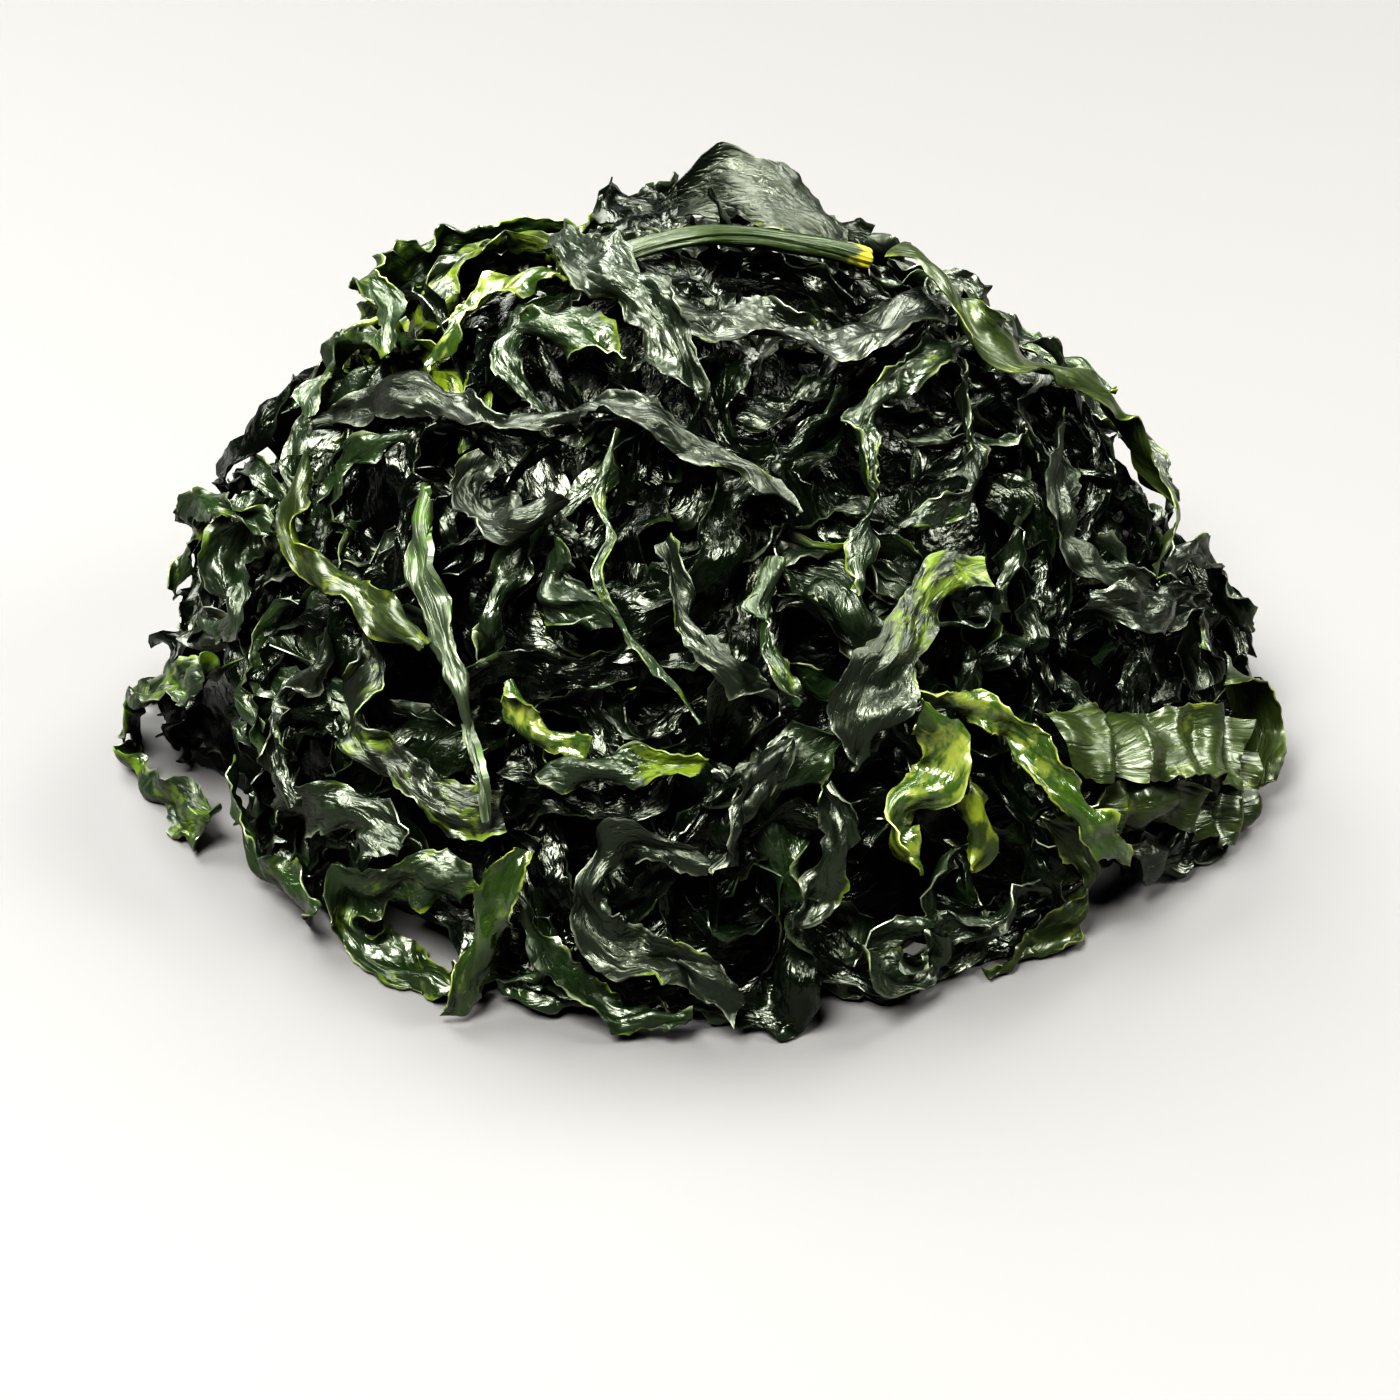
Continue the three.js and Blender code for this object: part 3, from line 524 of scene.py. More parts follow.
def hollow_share(ways):
    """How deep in a hollow each direction lies, 0 to 1."""
    bearings, falls = np.array(HOLLOWS, dtype=float).T
    nearest = np.clip(ways @ direction(bearings, falls).T, -1, 1).max(axis=-1)
    return np.exp(-(np.degrees(np.arccos(nearest)) / HOLLOW_SPREAD) ** 2)


def fill_strips(ceiling):
    """Short curling strips in the gaps, pressed down below the ones that show."""
    draw = seeded_draws(29)
    surfaces = []
    for k in range(FILL_COUNT):
        fall = math.degrees(math.acos(1 - (k + 0.5) / FILL_COUNT * 0.98))
        bearing = k * GOLDEN_ANGLE
        heading = 2 * math.pi * next(draw)
        route = []
        for _ in range(5 + math.floor(3 * next(draw))):
            route.append((bearing, min(max(fall, FILL_FALLS[0]), FILL_FALLS[1])))
            heading += math.radians(FILL_TURN) * (next(draw) - 0.5) * 2
            bearing += FILL_STRIDE * math.sin(heading) / max(math.sin(math.radians(fall)), FILL_RING)
            fall += FILL_STRIDE * math.cos(heading)
        strip = {
            "kind": "dark",
            "width": mix(*FILL_WIDTHS, next(draw) ** 2),
            "roll": FILL_ROLL * (next(draw) - 0.5),
            "twist": FILL_TWIST * (next(draw) - 0.5),
            "route": route,
        }
        ways, offsets = shape_strip(strip, draw)
        swing = FILL_SWING * np.sin(np.linspace(0, 5, len(ways)) + 2 * math.pi * next(draw))
        lifts = (mix(*FILL_LIFTS, next(draw)) + swing)[:, None] + np.zeros(offsets.shape[:2])
        lifts = lifts + (SHOULDER_RISE * np.clip(ways @ direction(*SHOULDER), 0, 1) ** 12)[:, None]
        hollow = hollow_share(ways)
        lifts = lifts - HOLLOW_DEPTH * hollow[:, None]
        if k % 2 == 0 and hollow.max() < HOLLOW_EDGE:
            # Half of those outside the hollows rise into the space under the strips that arch clear.
            rows, _, points = spread_points(surface_of(ways, offsets, lifts))
            room = np.full(len(ways), np.inf)
            np.minimum.at(room, rows, ceiling.near(points) - lift_of(points))
            rise = np.clip(np.where(np.isfinite(room), room - ARCH_ROOM, 0), 0, ARCH_RISE)
            lifts = lifts + np.convolve(rise, [0.25, 0.5, 0.25], mode="same")[:, None]
        surface = surface_of(ways, offsets, lifts)
        rows, columns, points = spread_points(surface)
        needed = np.zeros(offsets.shape[:2])
        np.maximum.at(needed, (rows, columns), lift_of(points) + FILL_GAP - ceiling.near(points))
        surfaces.append(surface_of(ways, offsets, lifts - draped(surface, needed, FILL_SLOPE)))
    return surfaces


def across_places(columns):
    """Places from edge to edge, -1 to 1, closer together at the edges."""
    even = np.linspace(-1, 1, columns)
    return (even + np.sin(even * math.pi / 2)) / 2


def fine_surface(surface, rows, columns):
    """The same surface with many points: a smooth curve along it and a parabola across it."""
    along = between(surface, np.linspace(0, len(surface) - 1, rows))
    s = across_places(columns)
    if surface.shape[1] == 3:
        weights = np.array([s * (s - 1) / 2, 1 - s * s, s * (s + 1) / 2])
    else:
        weights = np.array([(1 - s) / 2, (1 + s) / 2])
    return np.einsum("rjx,jc->rcx", along, weights)


def reshaped(surface, places, shares):
    """The same surface made wider or narrower along it: shares of its width at places from 0 to 1."""
    middle = surface.mean(axis=1, keepdims=True)
    share = np.interp(np.linspace(0, 1, len(surface)), places, shares)
    return middle + (surface - middle) * share[:, None, None]


def lobed(surface, seed, narrowest, widest):
    """The same surface with the uneven outline of a torn frond."""
    shares = np.random.default_rng(seed).uniform(narrowest, widest, LOBES)
    return reshaped(surface, np.linspace(0, 1, LOBES), shares)


def fold_wave(phase):
    """A wave between -1 and 1 with flat flanks and narrow creases."""
    return np.arcsin(0.985 * np.sin(phase)) / math.asin(0.985)


def wander(run, chance, waves):
    """A slow random swing between about -1 and 1 along a strip."""
    swing = 0
    for length in waves:
        swing = swing + np.sin(2 * math.pi * (run / (length * chance.uniform(0.8, 1.25)) + chance.random()))
    return swing / len(waves)


def crumpled(surface, chance, finish):
    """Gives a smooth strip its limp, wet folds.

    Returns its points, their places along and across it, how lime each is, and its pale cut edges, which are
    partly painted highlight.
    """
    columns = surface.shape[1]
    s = across_places(columns)[None, :]
    middle = surface[:, columns // 2]
    steps = np.linalg.norm(np.diff(middle, axis=0), axis=1)
    run = np.concatenate([[0], np.cumsum(steps)])[:, None]
    half = np.linalg.norm(surface[:, -1] - surface[:, 0], axis=1)[:, None] / 2
    width = np.maximum(half, 1.0)
    across_way = unit(np.gradient(surface, axis=1))
    along_way = unit(np.gradient(surface, axis=0))
    out = unit(np.cross(across_way, along_way))
    v = s * half

    # The edges roll in and out again along the strip.
    bow = finish["curl"] * CURL_ANGLE * wander(run, chance, CURL_WAVES) / width
    bow = np.where(np.abs(bow) < 1e-4, 1e-4, bow)
    inwards = np.sin(bow * v) / bow - v
    height = (1 - np.cos(bow * v)) / bow - 0.3 * bow * half ** 2 / 2

    # Fine folds: most run along the frond, a few across it, and they come and go in patches.
    gathered = np.clip(0.45 + wander(run, chance, GATHER_WAVES), 0, 1)
    inwards = inwards + min(finish["crumple"], 1) * (0.1 - GATHER_LOSS * gathered) * v
    scale = min(max(half.mean() / FULL_FOLD_HALF, 0.6), 1)
    for spacing, rise, lean in FOLDS:
        angle = lean * chance.choice([-1, 1]) * chance.uniform(0.7, 1.1)
        across_folds = (v * math.cos(angle) + run * math.sin(angle)) / scale
        rise = rise * scale
        phase = 2 * math.pi * across_folds / (spacing * chance.uniform(0.85, 1.2)) + chance.uniform(0, 6)
        warp = 1.3 * np.sin(run / 5.3 + chance.uniform(0, 6))
        warp = warp + 0.9 * np.sin(v / 2.1 + run / 9 + chance.uniform(0, 6))
        patch = 0.35 + 0.5 * gathered + 0.5 * wander(run + 1.5 * v, chance, (23, 13))
        patch = np.clip(patch, 0.08, 1.2)
        height = height + finish["crumple"] * rise * patch * fold_wave(phase + warp)

    # Cross pleats, as on a wide blade.
    pleats = 2 * math.pi * run / PLEAT_SPACING + 1.1 * np.sin(run / 8) + 0.22 * v
    height = height + finish["ripple"] * fold_wave(pleats) * (0.5 + 0.5 * wander(run, chance, (37, 21)))

    # Each edge waves on its own, and is torn.
    for edge in (-1, 1):
        share = np.clip(edge * s, 0, 1) ** 2.2
        rim_share = np.clip(edge * s, 0, 1) ** 5
        wave = 2 * math.pi * run / chance.uniform(*FRILL_WAVES)
        wave = wave + 1.4 * wander(run, chance, (17, 29)) + chance.uniform(0, 6)
        swell = 0.7 + 0.6 * wander(run, chance, (41, 27))
        height = height + finish["frill"] * FRILL_RISE * swell * share * fold_wave(wave)
        height = height + finish["frill"] * CRINKLE_RISE * rim_share * fold_wave(2.7 * wave + 2 * swell)
        height = height + EDGE_LIP * rim_share * np.clip(2 * wander(run, chance, (47, 33)), -1, 1)
        torn = sum(depth * wander(run, chance, waves) for depth, waves in TORN)
        inwards = inwards + edge * rim_share * torn * finish["frill"]

    # The cut ends are a little slanted.
    reach = run[-1, 0]
    slant = np.clip(1 - run / END_REACH, 0, 1) * chance.uniform(-END_SLANT, END_SLANT)
    slant = slant + np.clip(1 - (reach - run) / END_REACH, 0, 1) * chance.uniform(-END_SLANT, END_SLANT)
    points = surface + out * height[..., None]
    points = points + across_way * inwards[..., None] + along_way * (slant * v)[..., None]
    points[..., 2] = np.maximum(points[..., 2], FLOOR_CLEARANCE + FROND_THICKNESS / 2)

    # Where the frond is thin and lets light through: rims in some stretches, and patches.
    rim = 0
    for edge in (-1, 1):
        stretch = np.clip(1.6 * (finish["rim"] - 0.55 + wander(run, chance, (33, 19))), 0, 1)
        rim = rim + np.clip((edge * s - 0.82) / 0.18, 0, 1) ** 1.5 * stretch
    spots = wander(run + 0.8 * v, chance, (19, 11)) + 0.5 * wander(run - 1.7 * v, chance, (7, 5))
    patches = np.clip(finish["body"] - 0.15 + finish["body"] * 1.1 * spots, 0, 1)
    lime = np.maximum(rim, patches)
    # The pale cut edge: partly the frond's thin edge, partly painted highlight where the edge catches the
    # light.
    pale_edge_and_highlight = np.clip(1 - (1 - np.abs(s)) * half / PALE_EDGE_AND_HIGHLIGHT_WIDTH, 0, 1)
    pale_edge_and_highlight = pale_edge_and_highlight * np.clip(0.1 + 1.1 * wander(run + 9 * s, chance, (31, 12)), 0, 1)
    return points, run + 0 * v, v + 0 * run, lime, pale_edge_and_highlight


def select_only(*objects):
    bpy.ops.object.select_all(action="DESELECT")
    for each in objects:
        each.select_set(True)
    bpy.context.view_layer.objects.active = objects[0]


def set_attribute(mesh, name, values):
    layer = mesh.attributes.new(name, "FLOAT", "POINT")
    layer.data.foreach_set("value", np.ascontiguousarray(values, dtype=np.float32).ravel())


def set_strip_map(mesh, places):
    """The UV map of a strip: places along and across it, in millimetres over UV_UNIT."""
    layer = mesh.uv_layers[0]
    layer.name = "strip"
    corners = np.empty(len(mesh.loops), dtype=np.int32)
    mesh.loops.foreach_get("vertex_index", corners)
    layer.data.foreach_set("uv", (places[corners] / UV_UNIT).astype(np.float32).ravel())


def frond_sheet(name, points, run, across, lime, pale_edge_and_highlight, tone):
    """A flat grid of the right fineness, laid out as the crumpled strip."""
    rows, columns = points.shape[:2]
    bpy.ops.mesh.primitive_grid_add(x_subdivisions=columns - 1, y_subdivisions=rows - 1, size=2)
    sheet = bpy.context.object
    sheet.name = name
    mesh = sheet.data
    flat = np.empty(len(mesh.vertices) * 3)
    mesh.vertices.foreach_get("co", flat)
    x, y, _ = flat.reshape(-1, 3).T
    column = np.rint((x + 1) / 2 * (columns - 1)).astype(int)
    row = np.rint((y + 1) / 2 * (rows - 1)).astype(int)
    mesh.vertices.foreach_set("co", (points[row, column] * MM).ravel())
    set_strip_map(mesh, np.stack([run[row, column], across[row, column]], axis=1))
    set_attribute(mesh, "lime", lime[row, column])
    set_attribute(mesh, "pale_edge_and_highlight", pale_edge_and_highlight[row, column])
    set_attribute(mesh, "tone", np.full(len(row), tone))
    mesh.update()
    return sheet


def give_thickness(piece, thickness):
    select_only(piece)
    bpy.ops.object.modifier_add(type="SOLIDIFY")
    solidify = piece.modifiers[-1]
    solidify.thickness = thickness * MM
    solidify.offset = 0
    bpy.ops.object.modifier_apply(modifier=solidify.name)
    bpy.ops.object.shade_smooth_by_angle(angle=math.radians(52))


def joined(name, parts):
    select_only(*parts)
    bpy.ops.object.join()
    whole = bpy.context.object
    whole.name = name
    whole.data.name = name
    return whole


def rib_tube(name, surface, widths, depths, cut):
    """The round stalk, with closed ends, flattened as its widths and depths say."""
    rows, segments = 110, 40
    bpy.ops.mesh.primitive_uv_sphere_add(segments=segments, ring_count=rows, radius=1)
    tube = bpy.context.object
    tube.name = name
    mesh = tube.data
    ball = np.empty(len(mesh.vertices) * 3)
    mesh.vertices.foreach_get("co", ball)
    x, y, z = ball.reshape(-1, 3).T
    row = np.rint(np.arccos(np.clip(z, -1, 1)) / math.pi * rows).astype(int)
    around = np.arctan2(y, x)
    smooth = fine_surface(surface, rows + 1, 3)
    middle = smooth[:, 1]
    across = unit(smooth[:, 2] - smooth[:, 0])
    along = unit(np.gradient(middle, axis=0))
    out = unit(np.cross(across, along))
    t = np.arange(rows + 1) / rows
    cap = np.minimum(1, np.sqrt(1 - np.clip(1 - np.minimum(t, 1 - t) * rows / 2, 0, 1) ** 2))
    cap[0] = cap[-1] = 0
    ripple = 1 + 0.05 * np.sin(9 * t * math.pi) + 0.04 * np.sin(23 * t)
    half_width = np.interp(t, *widths) / 2 * cap * ripple
    half_depth = np.interp(t, *depths) / 2 * cap
    groove = 1 + 0.09 * np.cos(6 * around + 2.5 * t[row]) + 0.05 * np.cos(11 * around - 4 * t[row])
    points = (middle[row] + across[row] * (half_width[row] * np.cos(around) * groove)[:, None]
              + out[row] * (half_depth[row] * np.sin(around) * groove)[:, None])
    points[:, 2] = np.maximum(points[:, 2], FLOOR_CLEARANCE)
    mesh.vertices.foreach_set("co", (points * MM).ravel())
    length = np.concatenate([[0], np.cumsum(np.linalg.norm(np.diff(middle, axis=0), axis=1))])
    set_strip_map(mesh, np.stack([length[row], 2 * around], axis=1))
    set_attribute(mesh, "lime", np.clip((t[row] - cut[0]) / (cut[1] - cut[0]), 0, 1))
    set_attribute(mesh, "pale_edge_and_highlight", np.zeros(len(row)))
    set_attribute(mesh, "tone", np.full(len(row), 0.5))
    mesh.update()
    select_only(tube)
    bpy.ops.object.mode_set(mode="EDIT")
    bpy.ops.mesh.select_all(action="SELECT")
    bpy.ops.mesh.normals_make_consistent(inside=False)
    bpy.ops.object.mode_set(mode="OBJECT")
    bpy.ops.object.shade_smooth()
    return tube


def core_ball(name):
    """The furrowed core under everything, flat underneath."""
    rings, segments = 60, 128
    bpy.ops.mesh.primitive_uv_sphere_add(segments=segments, ring_count=rings, radius=1)
    core = bpy.context.object
    core.name = name
    mesh = core.data
    ball = np.empty(len(mesh.vertices) * 3)
    mesh.vertices.foreach_get("co", ball)
    ball = ball.reshape(-1, 3)
    fall = np.degrees(np.arccos(np.clip(ball[:, 2], -1, 1)))
    bearing = np.degrees(np.arctan2(ball[:, 0], -ball[:, 1]))
    low = fall > 90
    level = np.where(low, 90, fall)
    way = direction(bearing, level)
    bend = np.radians(5 * bearing + 140 * np.sin(np.radians(3 * level)))
    furrow = CORE_FURROW * np.sin(bend) * np.sin(np.radians(7 * level + 2 * bearing))
    wrinkle = 1.3 * fold_wave(np.radians(31 * bearing + 400 * np.sin(np.radians(4 * level))))
    wrinkle = wrinkle * fold_wave(np.radians(17 * level + 90 * np.sin(np.radians(5 * bearing))))
    reach = heap_radius(way) - CORE_DEPTH + furrow + wrinkle * np.sin(np.radians(level))
    reach = np.where(low, reach * np.sin(np.radians(fall)), reach)
    points = way * reach[:, None]
    points[:, 2] = np.where(low, 0, np.maximum(points[:, 2], 0))
    mesh.vertices.foreach_set("co", (points * MM).ravel())
    set_strip_map(mesh, np.stack([bearing, level], axis=1))
    set_attribute(mesh, "lime", np.zeros(len(points)))
    set_attribute(mesh, "pale_edge_and_highlight", np.zeros(len(points)))
    set_attribute(mesh, "tone", np.zeros(len(points)))
    mesh.update()
    select_only(core)
    bpy.ops.object.shade_smooth()
    return core


# Patterns on a frond: how many features there are in UV_UNIT, 10 mm, along it and across it
STREAKS = (2.2, 13, 1)  # the grain of the frond, 4.5 by 0.8 mm
PATCHES = (0.9, 1.6, 1)  # wetter and duller places, 11 by 6 mm
BLOTCHES = (2.6, 4.0, 1)  # thinner, greener spots, 3.8 by 2.5 mm
CREASES = (2.3, 6, 1)  # sharp small wrinkles, 4.3 by 1.7 mm
CRUMPLES = (2.5, 4.0, 1)  # the flat facets between folds, 4 by 2.5 mm
BLADE_GRAIN = (1.2, 4, 1)  # creases of a wide smooth blade, 8 by 2.5 mm
YOUNG_GRAIN = (1.6, 3.4, 1)  # of a young soft one, 6 by 3 mm
DULL_GRAIN = (2.6, 7, 1)  # of an old leathery one, 3.8 by 1.4 mm
RIB_GRAIN = (0.5, 9, 1)  # the long ribs of a stalk, 20 by 1.1 mm
CREASE_DEPTH = 0.11
CRUMPLE_DEPTH = 0.34
WATER_IOR = 1.33
WATER_ROUGHNESS = 0.09


def linear(code):
    """An sRGB hex colour as linear values."""
    channels = [int(code[k:k + 2], 16) / 255 for k in (1, 3, 5)]
    return tuple(c / 12.92 if c <= 0.04045 else ((c + 0.055) / 1.055) ** 2.4 for c in channels) + (1.0,)


def add_node(tree, kind, inputs, **settings):
    """Adds a node, with its settings and what goes into each of its inputs: a value or another's output."""
    node = tree.nodes.new(kind)
    for name, value in settings.items():
        setattr(node, name, value)
    for name, value in inputs.items():
        if isinstance(value, bpy.types.NodeSocket):
            tree.links.new(value, node.inputs[name])
        else:
            node.inputs[name].default_value = value
    return node


def frond_material(
        name, deep, fresh, thin, edge, roughness, translucence, ior, film,
        creases_at=CREASES, crumple_share=1):
    """Wet seaweed frond: a thin, leathery, dark blade under a broken film of water.

    Its colours are the frond's in its dark and its fresh places, where it is thin, and at the cut edge, whose
    pale line is partly painted highlight.
    roughness is of its wetter and its duller places, translucence of its thick and its thin ones.
    """
    material = bpy.data.materials.new(name)
    material.use_nodes = True
    tree = material.node_tree
    tree.nodes.clear()
    strip = add_node(tree, "ShaderNodeUVMap", {}, uv_map="strip").outputs[0]
    lime = add_node(tree, "ShaderNodeAttribute", {}, attribute_name="lime").outputs["Fac"]
    pale_edge_and_highlight = add_node(tree, "ShaderNodeAttribute", {}, attribute_name="pale_edge_and_highlight").outputs["Fac"]
    tone = add_node(tree, "ShaderNodeAttribute", {}, attribute_name="tone").outputs["Fac"]

    def pattern(scale, detail):
        place = add_node(tree, "ShaderNodeMapping", {"Vector": strip, "Scale": scale}).outputs[0]
        return add_node(tree, "ShaderNodeTexNoise", {
            "Vector": place, "Scale": 1.0, "Detail": detail, "Roughness": 0.58, "Distortion": 0.4}).outputs[0]

    def ridges(scale):
        place = add_node(tree, "ShaderNodeMapping", {"Vector": strip, "Scale": scale}).outputs[0]
        return add_node(tree, "ShaderNodeTexNoise", {
            "Vector": place, "Scale": 1.0, "Detail": 4.0, "Roughness": 0.55, "Distortion": 0.6,
            "Offset": 0.9, "Gain": 1.6}, noise_type="RIDGED_MULTIFRACTAL", normalize=True).outputs[0]

    def facets(scale):
        place = add_node(tree, "ShaderNodeMapping", {"Vector": strip, "Scale": scale}).outputs[0]
        bend = add_node(tree, "ShaderNodeTexNoise", {"Vector": place, "Scale": 0.7, "Detail": 2.0})
        place = add_node(
            tree, "ShaderNodeVectorMath", {0: place, 1: bend.outputs["Color"]}, operation="ADD").outputs[0]
        return add_node(tree, "ShaderNodeTexVoronoi", {
            "Vector": place, "Scale": 1.0, "Detail": 1.5, "Roughness": 0.5, "Lacunarity": 2.3},
            voronoi_dimensions="2D", normalize=True).outputs["Distance"]

    def ramp(value, low, high, to_low, to_high):
        return add_node(tree, "ShaderNodeMapRange", {
            "Value": value, "From Min": low, "From Max": high,
            "To Min": to_low, "To Max": to_high}).outputs[0]

    def times(first, second):
        return add_node(tree, "ShaderNodeMath", {0: first, 1: second}, operation="MULTIPLY").outputs[0]

    def blended(share, first, second):
        return add_node(tree, "ShaderNodeMix", {0: share, 6: first, 7: second}, data_type="RGBA").outputs[2]

    streaks = pattern(STREAKS, 4.0)
    patches = pattern(PATCHES, 4.0)
    blotches = pattern(BLOTCHES, 3.0)
    creases = ridges(creases_at)
    crumple = facets(CRUMPLES)

    freshness = ramp(times(times(patches, streaks), tone), 0.03, 0.25, 0, 1)
    body = blended(freshness, linear(deep), linear(fresh))
    lime_share = add_node(tree, "ShaderNodeMath", {
        0: lime, 1: ramp(blotches, 0.36, 0.62, -0.7, 0.3)}, operation="ADD").outputs[0]
    lime_share = times(ramp(lime_share, 0.0, 0.9, 0, 1), ramp(lime, 0.0, 0.12, 0, 1))
    colour = blended(lime_share, body, linear(thin))
    # Pale cut edge: partly the frond's own colour, partly painted highlight of the light the edge catches.
    colour = blended(times(pale_edge_and_highlight, ramp(blotches, 0.35, 0.6, 0.25, 0.9)), colour, linear(edge))

    relief = add_node(tree, "ShaderNodeBump", {
        "Strength": 1.0, "Distance": CREASE_DEPTH * MM, "Height": creases}, invert=True).outputs[0]
    relief = add_node(tree, "ShaderNodeBump", {
        "Strength": 1.0, "Distance": CRUMPLE_DEPTH * crumple_share * MM, "Height": crumple,
        "Normal": relief}).outputs[0]
    skin = add_node(tree, "ShaderNodeBsdfPrincipled", {
        "Base Color": colour, "Roughness": ramp(patches, 0.35, 0.65, roughness[1], roughness[0]),
        "IOR": ior, "Specular Tint": linear("#dfe8cc"), "Coat Weight": ramp(patches, 0.38, 0.6, 0.0, film),
        "Coat Roughness": WATER_ROUGHNESS, "Coat IOR": WATER_IOR, "Normal": relief, "Coat Normal": relief})
    glow_colour = blended(lime_share, linear(fresh), linear(thin))
    glow = add_node(tree, "ShaderNodeBsdfTranslucent", {"Color": glow_colour, "Normal": relief}).outputs[0]
    share = ramp(lime_share, 0.0, 1.0, *translucence)
    blend = add_node(tree, "ShaderNodeMixShader", {0: share, 1: skin.outputs[0], 2: glow}).outputs[0]
    add_node(tree, "ShaderNodeOutputMaterial", {"Surface": blend})
    return material


def floor_material():
    """Painted studio board: matt, so that it shows as plain and pale under the strong lights."""
    material = bpy.data.materials.new("white studio board")
    material.use_nodes = True
    skin = material.node_tree.nodes["Principled BSDF"]
    skin.inputs["Base Color"].default_value = linear("#545351")
    skin.inputs["Roughness"].default_value = 0.7
    return material


# edge is the colour of the pale cut edge, partly painted highlight.
MATERIALS = {
    # Mature blade, rinsed: black-green and satin, with small wet highlights on its creases
    "dark": frond_material(
        "dark wakame frond", deep="#050905", fresh="#182a0e", thin="#4f6216", edge="#757a66",
        roughness=(0.3, 0.46), translucence=(0.02, 0.26), ior=1.6, film=0.38),
    # Younger blade: bottle green, glossier, with light through its thin places
    "green": frond_material(
        "green wakame frond", deep="#070f06", fresh="#1f3111", thin="#66761e", edge="#7c8460",
        roughness=(0.29, 0.45), translucence=(0.05, 0.38), ior=1.6, film=0.45),
    # Blade from which the water has run off: soft grey highlights and fine wrinkles
    "grey": frond_material(
        "dull wakame frond", deep="#070b06", fresh="#182414", thin="#586820", edge="#6c7262",
        roughness=(0.37, 0.5), translucence=(0.02, 0.2), ior=1.55, film=0.2,
        creases_at=DULL_GRAIN, crumple_share=0.7),
    # Wide smooth blade: olive, with few wrinkles and broad even highlights
    "olive": frond_material(
        "olive wakame frond", deep="#080c05", fresh="#232c10", thin="#5c661a", edge="#6c743c",
        roughness=(0.3, 0.44), translucence=(0.04, 0.3), ior=1.48, film=0.3,
        creases_at=BLADE_GRAIN, crumple_share=0.4),
    # Youngest blade: lime where it is thin, under an even film of water
    "lime": frond_material(
        "young wakame frond", deep="#0d1907", fresh="#2a3c12", thin="#6e7634", edge="#a4ac6c",
        roughness=(0.2, 0.32), translucence=(0.05, 0.22), ior=1.65, film=1.0,
        creases_at=YOUNG_GRAIN, crumple_share=0.5),
    # Blades inside the heap: a darker, less glossy copy of the frond, almost black: painted shade of the
    # strips over them
    "inner": frond_material(
        "inner wakame frond in painted shade", deep="#020402", fresh="#0b1407", thin="#2c3818", edge="#2c3424",
        roughness=(0.2, 0.34), translucence=(0.0, 0.2), ior=1.36, film=0.25),
    # Midrib with a little blade left on it: grey-green, ribbed along its length, waxy
    "rib": frond_material(
        "wakame midrib", deep="#10150d", fresh="#262e1e", thin="#2f460f", edge="#7c8468",
        roughness=(0.34, 0.48), translucence=(0.0, 0.1), ior=1.6, film=0.2,
        creases_at=RIB_GRAIN, crumple_share=0.4),
    # Round stalk: dark green, waxy, with a yellow cut end
    "stalk": frond_material(
        "cut wakame stalk", deep="#0b1207", fresh="#22300c", thin="#857f22", edge="#857f22",
        roughness=(0.3, 0.48), translucence=(0.0, 0.1), ior=1.5, film=0.3,
        creases_at=RIB_GRAIN, crumple_share=0.3),
}
OLIVE_STRIPS = (
    "pleated_blade", "pleated_low_blade", "far_right_blade", "olive_stub", "long_arch", "floor_right_strip",
    "olive_blade")
GREY_STRIPS = (
    "top_fold", "right_grey_blade", "middle_pale_strip", "tongue_blade", "front_loop", "long_sash",
    "left_drape", "middle_left_fold")


def finish_piece(piece, kind, *nodes):
    piece.data.materials.clear()
    piece.data.materials.append(MATERIALS[kind])
    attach(piece, "root")
    if nodes:
        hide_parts(*nodes)


# The strips, laid as in the solids
bpy.ops.object.select_all(action="DESELECT")
loops = heart_loops()
laid = LiftMap(np.maximum, -np.inf)
ceiling = LiftMap(np.minimum, np.inf)
for loop in loops:
    laid.cover(loop)
lay_draws = seeded_draws(3)
strips = far_side_strips() + front_strips()
for strip in strips:
    surface = lay(strip, lay_draws, laid)
    laid.cover(surface)
    ceiling.cover(surface)
    strip["surface"] = surface

for index, strip in enumerate(strips):
    name = strip["name"]
    if name == "midrib_stalk":
        continue
    chance = np.random.default_rng(500 + index)
    finish = {**KIND_FINISH[strip["kind"]], **STRIP_FINISH.get(name, {})}
    lengths = np.linalg.norm(np.diff(strip["surface"][:, 1], axis=0), axis=1)
    rows = max(round(lengths.sum() / ROW_FINENESS), 30)
    smooth = fine_surface(strip["surface"], rows, STRIP_COLUMNS)
    if "widths" in finish:
        smooth = reshaped(smooth, *finish["widths"])
    else:
        smooth = lobed(smooth, 4000 + index, *STRIP_LOBES)
    points, run, across, lime, pale_edge_and_highlight = crumpled(smooth, chance, finish)
    if "leafy" in finish:
        fade = np.clip(1 - run / finish["leafy"], 0, 1)
        lime = np.maximum(lime, fade * (0.6 + 0.4 * np.sin(across + run / 2)))
    if "lime_end" in finish:
        fade = np.clip(1 - (run[-1] - run) / finish["lime_end"], 0, 1)
        lime = np.maximum(lime, 1.2 * fade)
    tone = min(max(finish["tone"] + chance.uniform(-0.15, 0.15), 0), 1)
    piece = frond_sheet(f"wet_{name}", points, run, across, lime, pale_edge_and_highlight, tone)
    give_thickness(piece, RIB_THICKNESS if strip["kind"] == "rib" else FROND_THICKNESS)
    kind = "olive" if name in OLIVE_STRIPS else "grey" if name in GREY_STRIPS else strip["kind"]
    finish_piece(piece, kind, name)

by_name = {strip["name"]: strip for strip in strips}
stalk = rib_tube(
    "wet_midrib_stalk", by_name["midrib_stalk"]["surface"], STALK_WIDTHS, STALK_DEPTHS, STALK_CUT)
finish_piece(stalk, "stalk", "midrib_stalk")

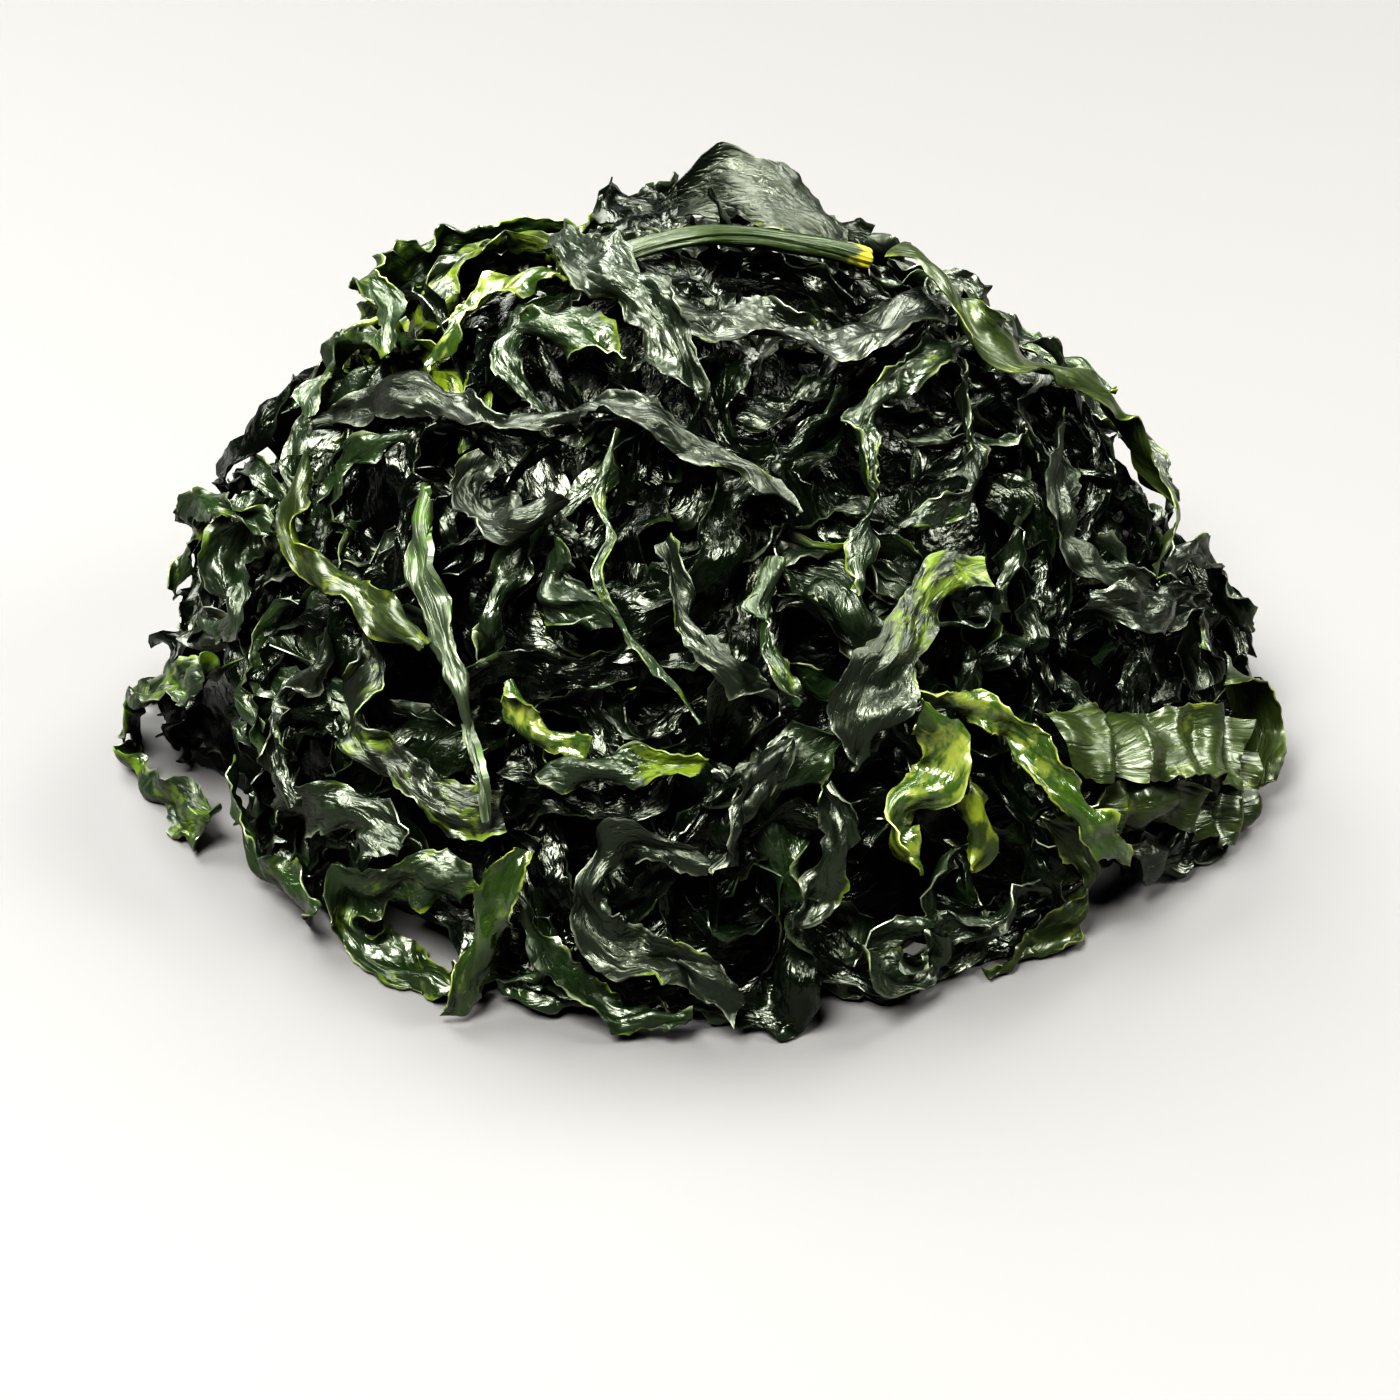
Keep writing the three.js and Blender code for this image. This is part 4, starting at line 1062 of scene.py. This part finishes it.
# The heart: the core and its loops
heart_parts = [core_ball("wet_heart_tangle")]
for index, loop in enumerate(loops):
    chance = np.random.default_rng(900 + index)
    finish = {**KIND_FINISH["dark"], "rim": 0.15 * (index % 3)}
    facts = crumpled(fine_surface(loop, *LOOP_FINE), chance, finish)
    sheet = frond_sheet("loop", *facts, chance.uniform(0, 0.6))
    give_thickness(sheet, FROND_THICKNESS)
    heart_parts.append(sheet)
heart = joined("wet_heart_tangle", heart_parts)
# The heart takes the inner material: its near-black is painted shade.
finish_piece(heart, "inner", "heart_tangle")

# Loose strips in the gaps. Two in three near the upper left are young and lime, partly as painted glow of the
# back light, and the others are dealt out.
fills = fill_strips(ceiling)
groups = {name: [] for name in LOOSE_PIECES}
for index, fill in enumerate(fills):
    middle_way = unit(fill[len(fill) // 2, 1])
    near_shoulder = middle_way @ direction(*SHOULDER) > math.cos(math.radians(SHOULDER_REACH))
    name = YOUNG_AND_PAINTED_GLOW_PIECE if near_shoulder and index % 3 else LOOSE_PIECES[index % (len(LOOSE_PIECES) - 1)]
    groups[name].append(index)
for name, members in groups.items():
    kind = name.split("_")[0]
    sheets = []
    for index in members:
        chance = np.random.default_rng(2000 + index)
        finish = {**KIND_FINISH["green" if kind == "green" else "dark"], "curl": 1.5}
        finish["rim"] = chance.uniform(-0.5, 0.25)
        # Lime patches near the upper left: partly young frond, partly painted glow of the back light.
        finish["body"] = 0.7 * (name == YOUNG_AND_PAINTED_GLOW_PIECE and chance.random() < 0.65)
        smooth = lobed(fine_surface(fills[index], *FILL_FINE), 5000 + index, *FILL_LOBES)
        sheets.append(frond_sheet("loose", *crumpled(smooth, chance, finish), chance.uniform(0, 0.5)))
    loose = joined(f"wet_loose_{name}", sheets)
    give_thickness(loose, FROND_THICKNESS)
    # Inner pieces take the inner material, whose near-black is painted shade.
    finish_piece(loose, kind)

# Stage: a board, a large soft light behind on the left, one above the front and two weak ones on the right
bpy.ops.mesh.primitive_plane_add(size=8, location=(0, 0, -0.2 * MM))
floor = bpy.context.object
floor.name = "floor"
floor.data.materials.append(floor_material())


def soft_light(name, place, size, watts, aim=(0, 0, 0.04)):
    bpy.ops.object.light_add(type="AREA", location=place)
    light = bpy.context.object
    light.name = name
    light.data.shape = "SQUARE"
    light.data.size = size
    light.data.energy = watts
    away = np.array(place) - np.array(aim)
    level = math.hypot(away[0], away[1])
    light.rotation_euler = (math.atan2(level, away[2]), 0, math.atan2(away[0], -away[1]))


soft_light("key", (-0.6, 0.65, 1.1), 0.95, 48)
soft_light("back_right", (0.6, 0.6, 1.0), 0.5, 20)
soft_light("top", (-0.35, -0.55, 1.2), 0.6, 66)
soft_light("right", (0.85, -0.15, 0.85), 0.35, 15)

bpy.context.scene.view_settings.view_transform = "Standard"
bpy.context.scene.view_settings.look = "High Contrast"

world = bpy.data.worlds.new("studio")
bpy.context.scene.world = world
world.use_nodes = True
world.node_tree.nodes["Background"].inputs["Color"].default_value = linear("#f4f4f2")
world.node_tree.nodes["Background"].inputs["Strength"].default_value = 0.02

bpy.ops.object.camera_add(location=(0, -0.6186, 0.4241), rotation=(math.radians(56), 0, 0))
camera = bpy.context.object
camera.data.lens = 101.5
camera.data.sensor_width = 36
bpy.context.scene.camera = camera
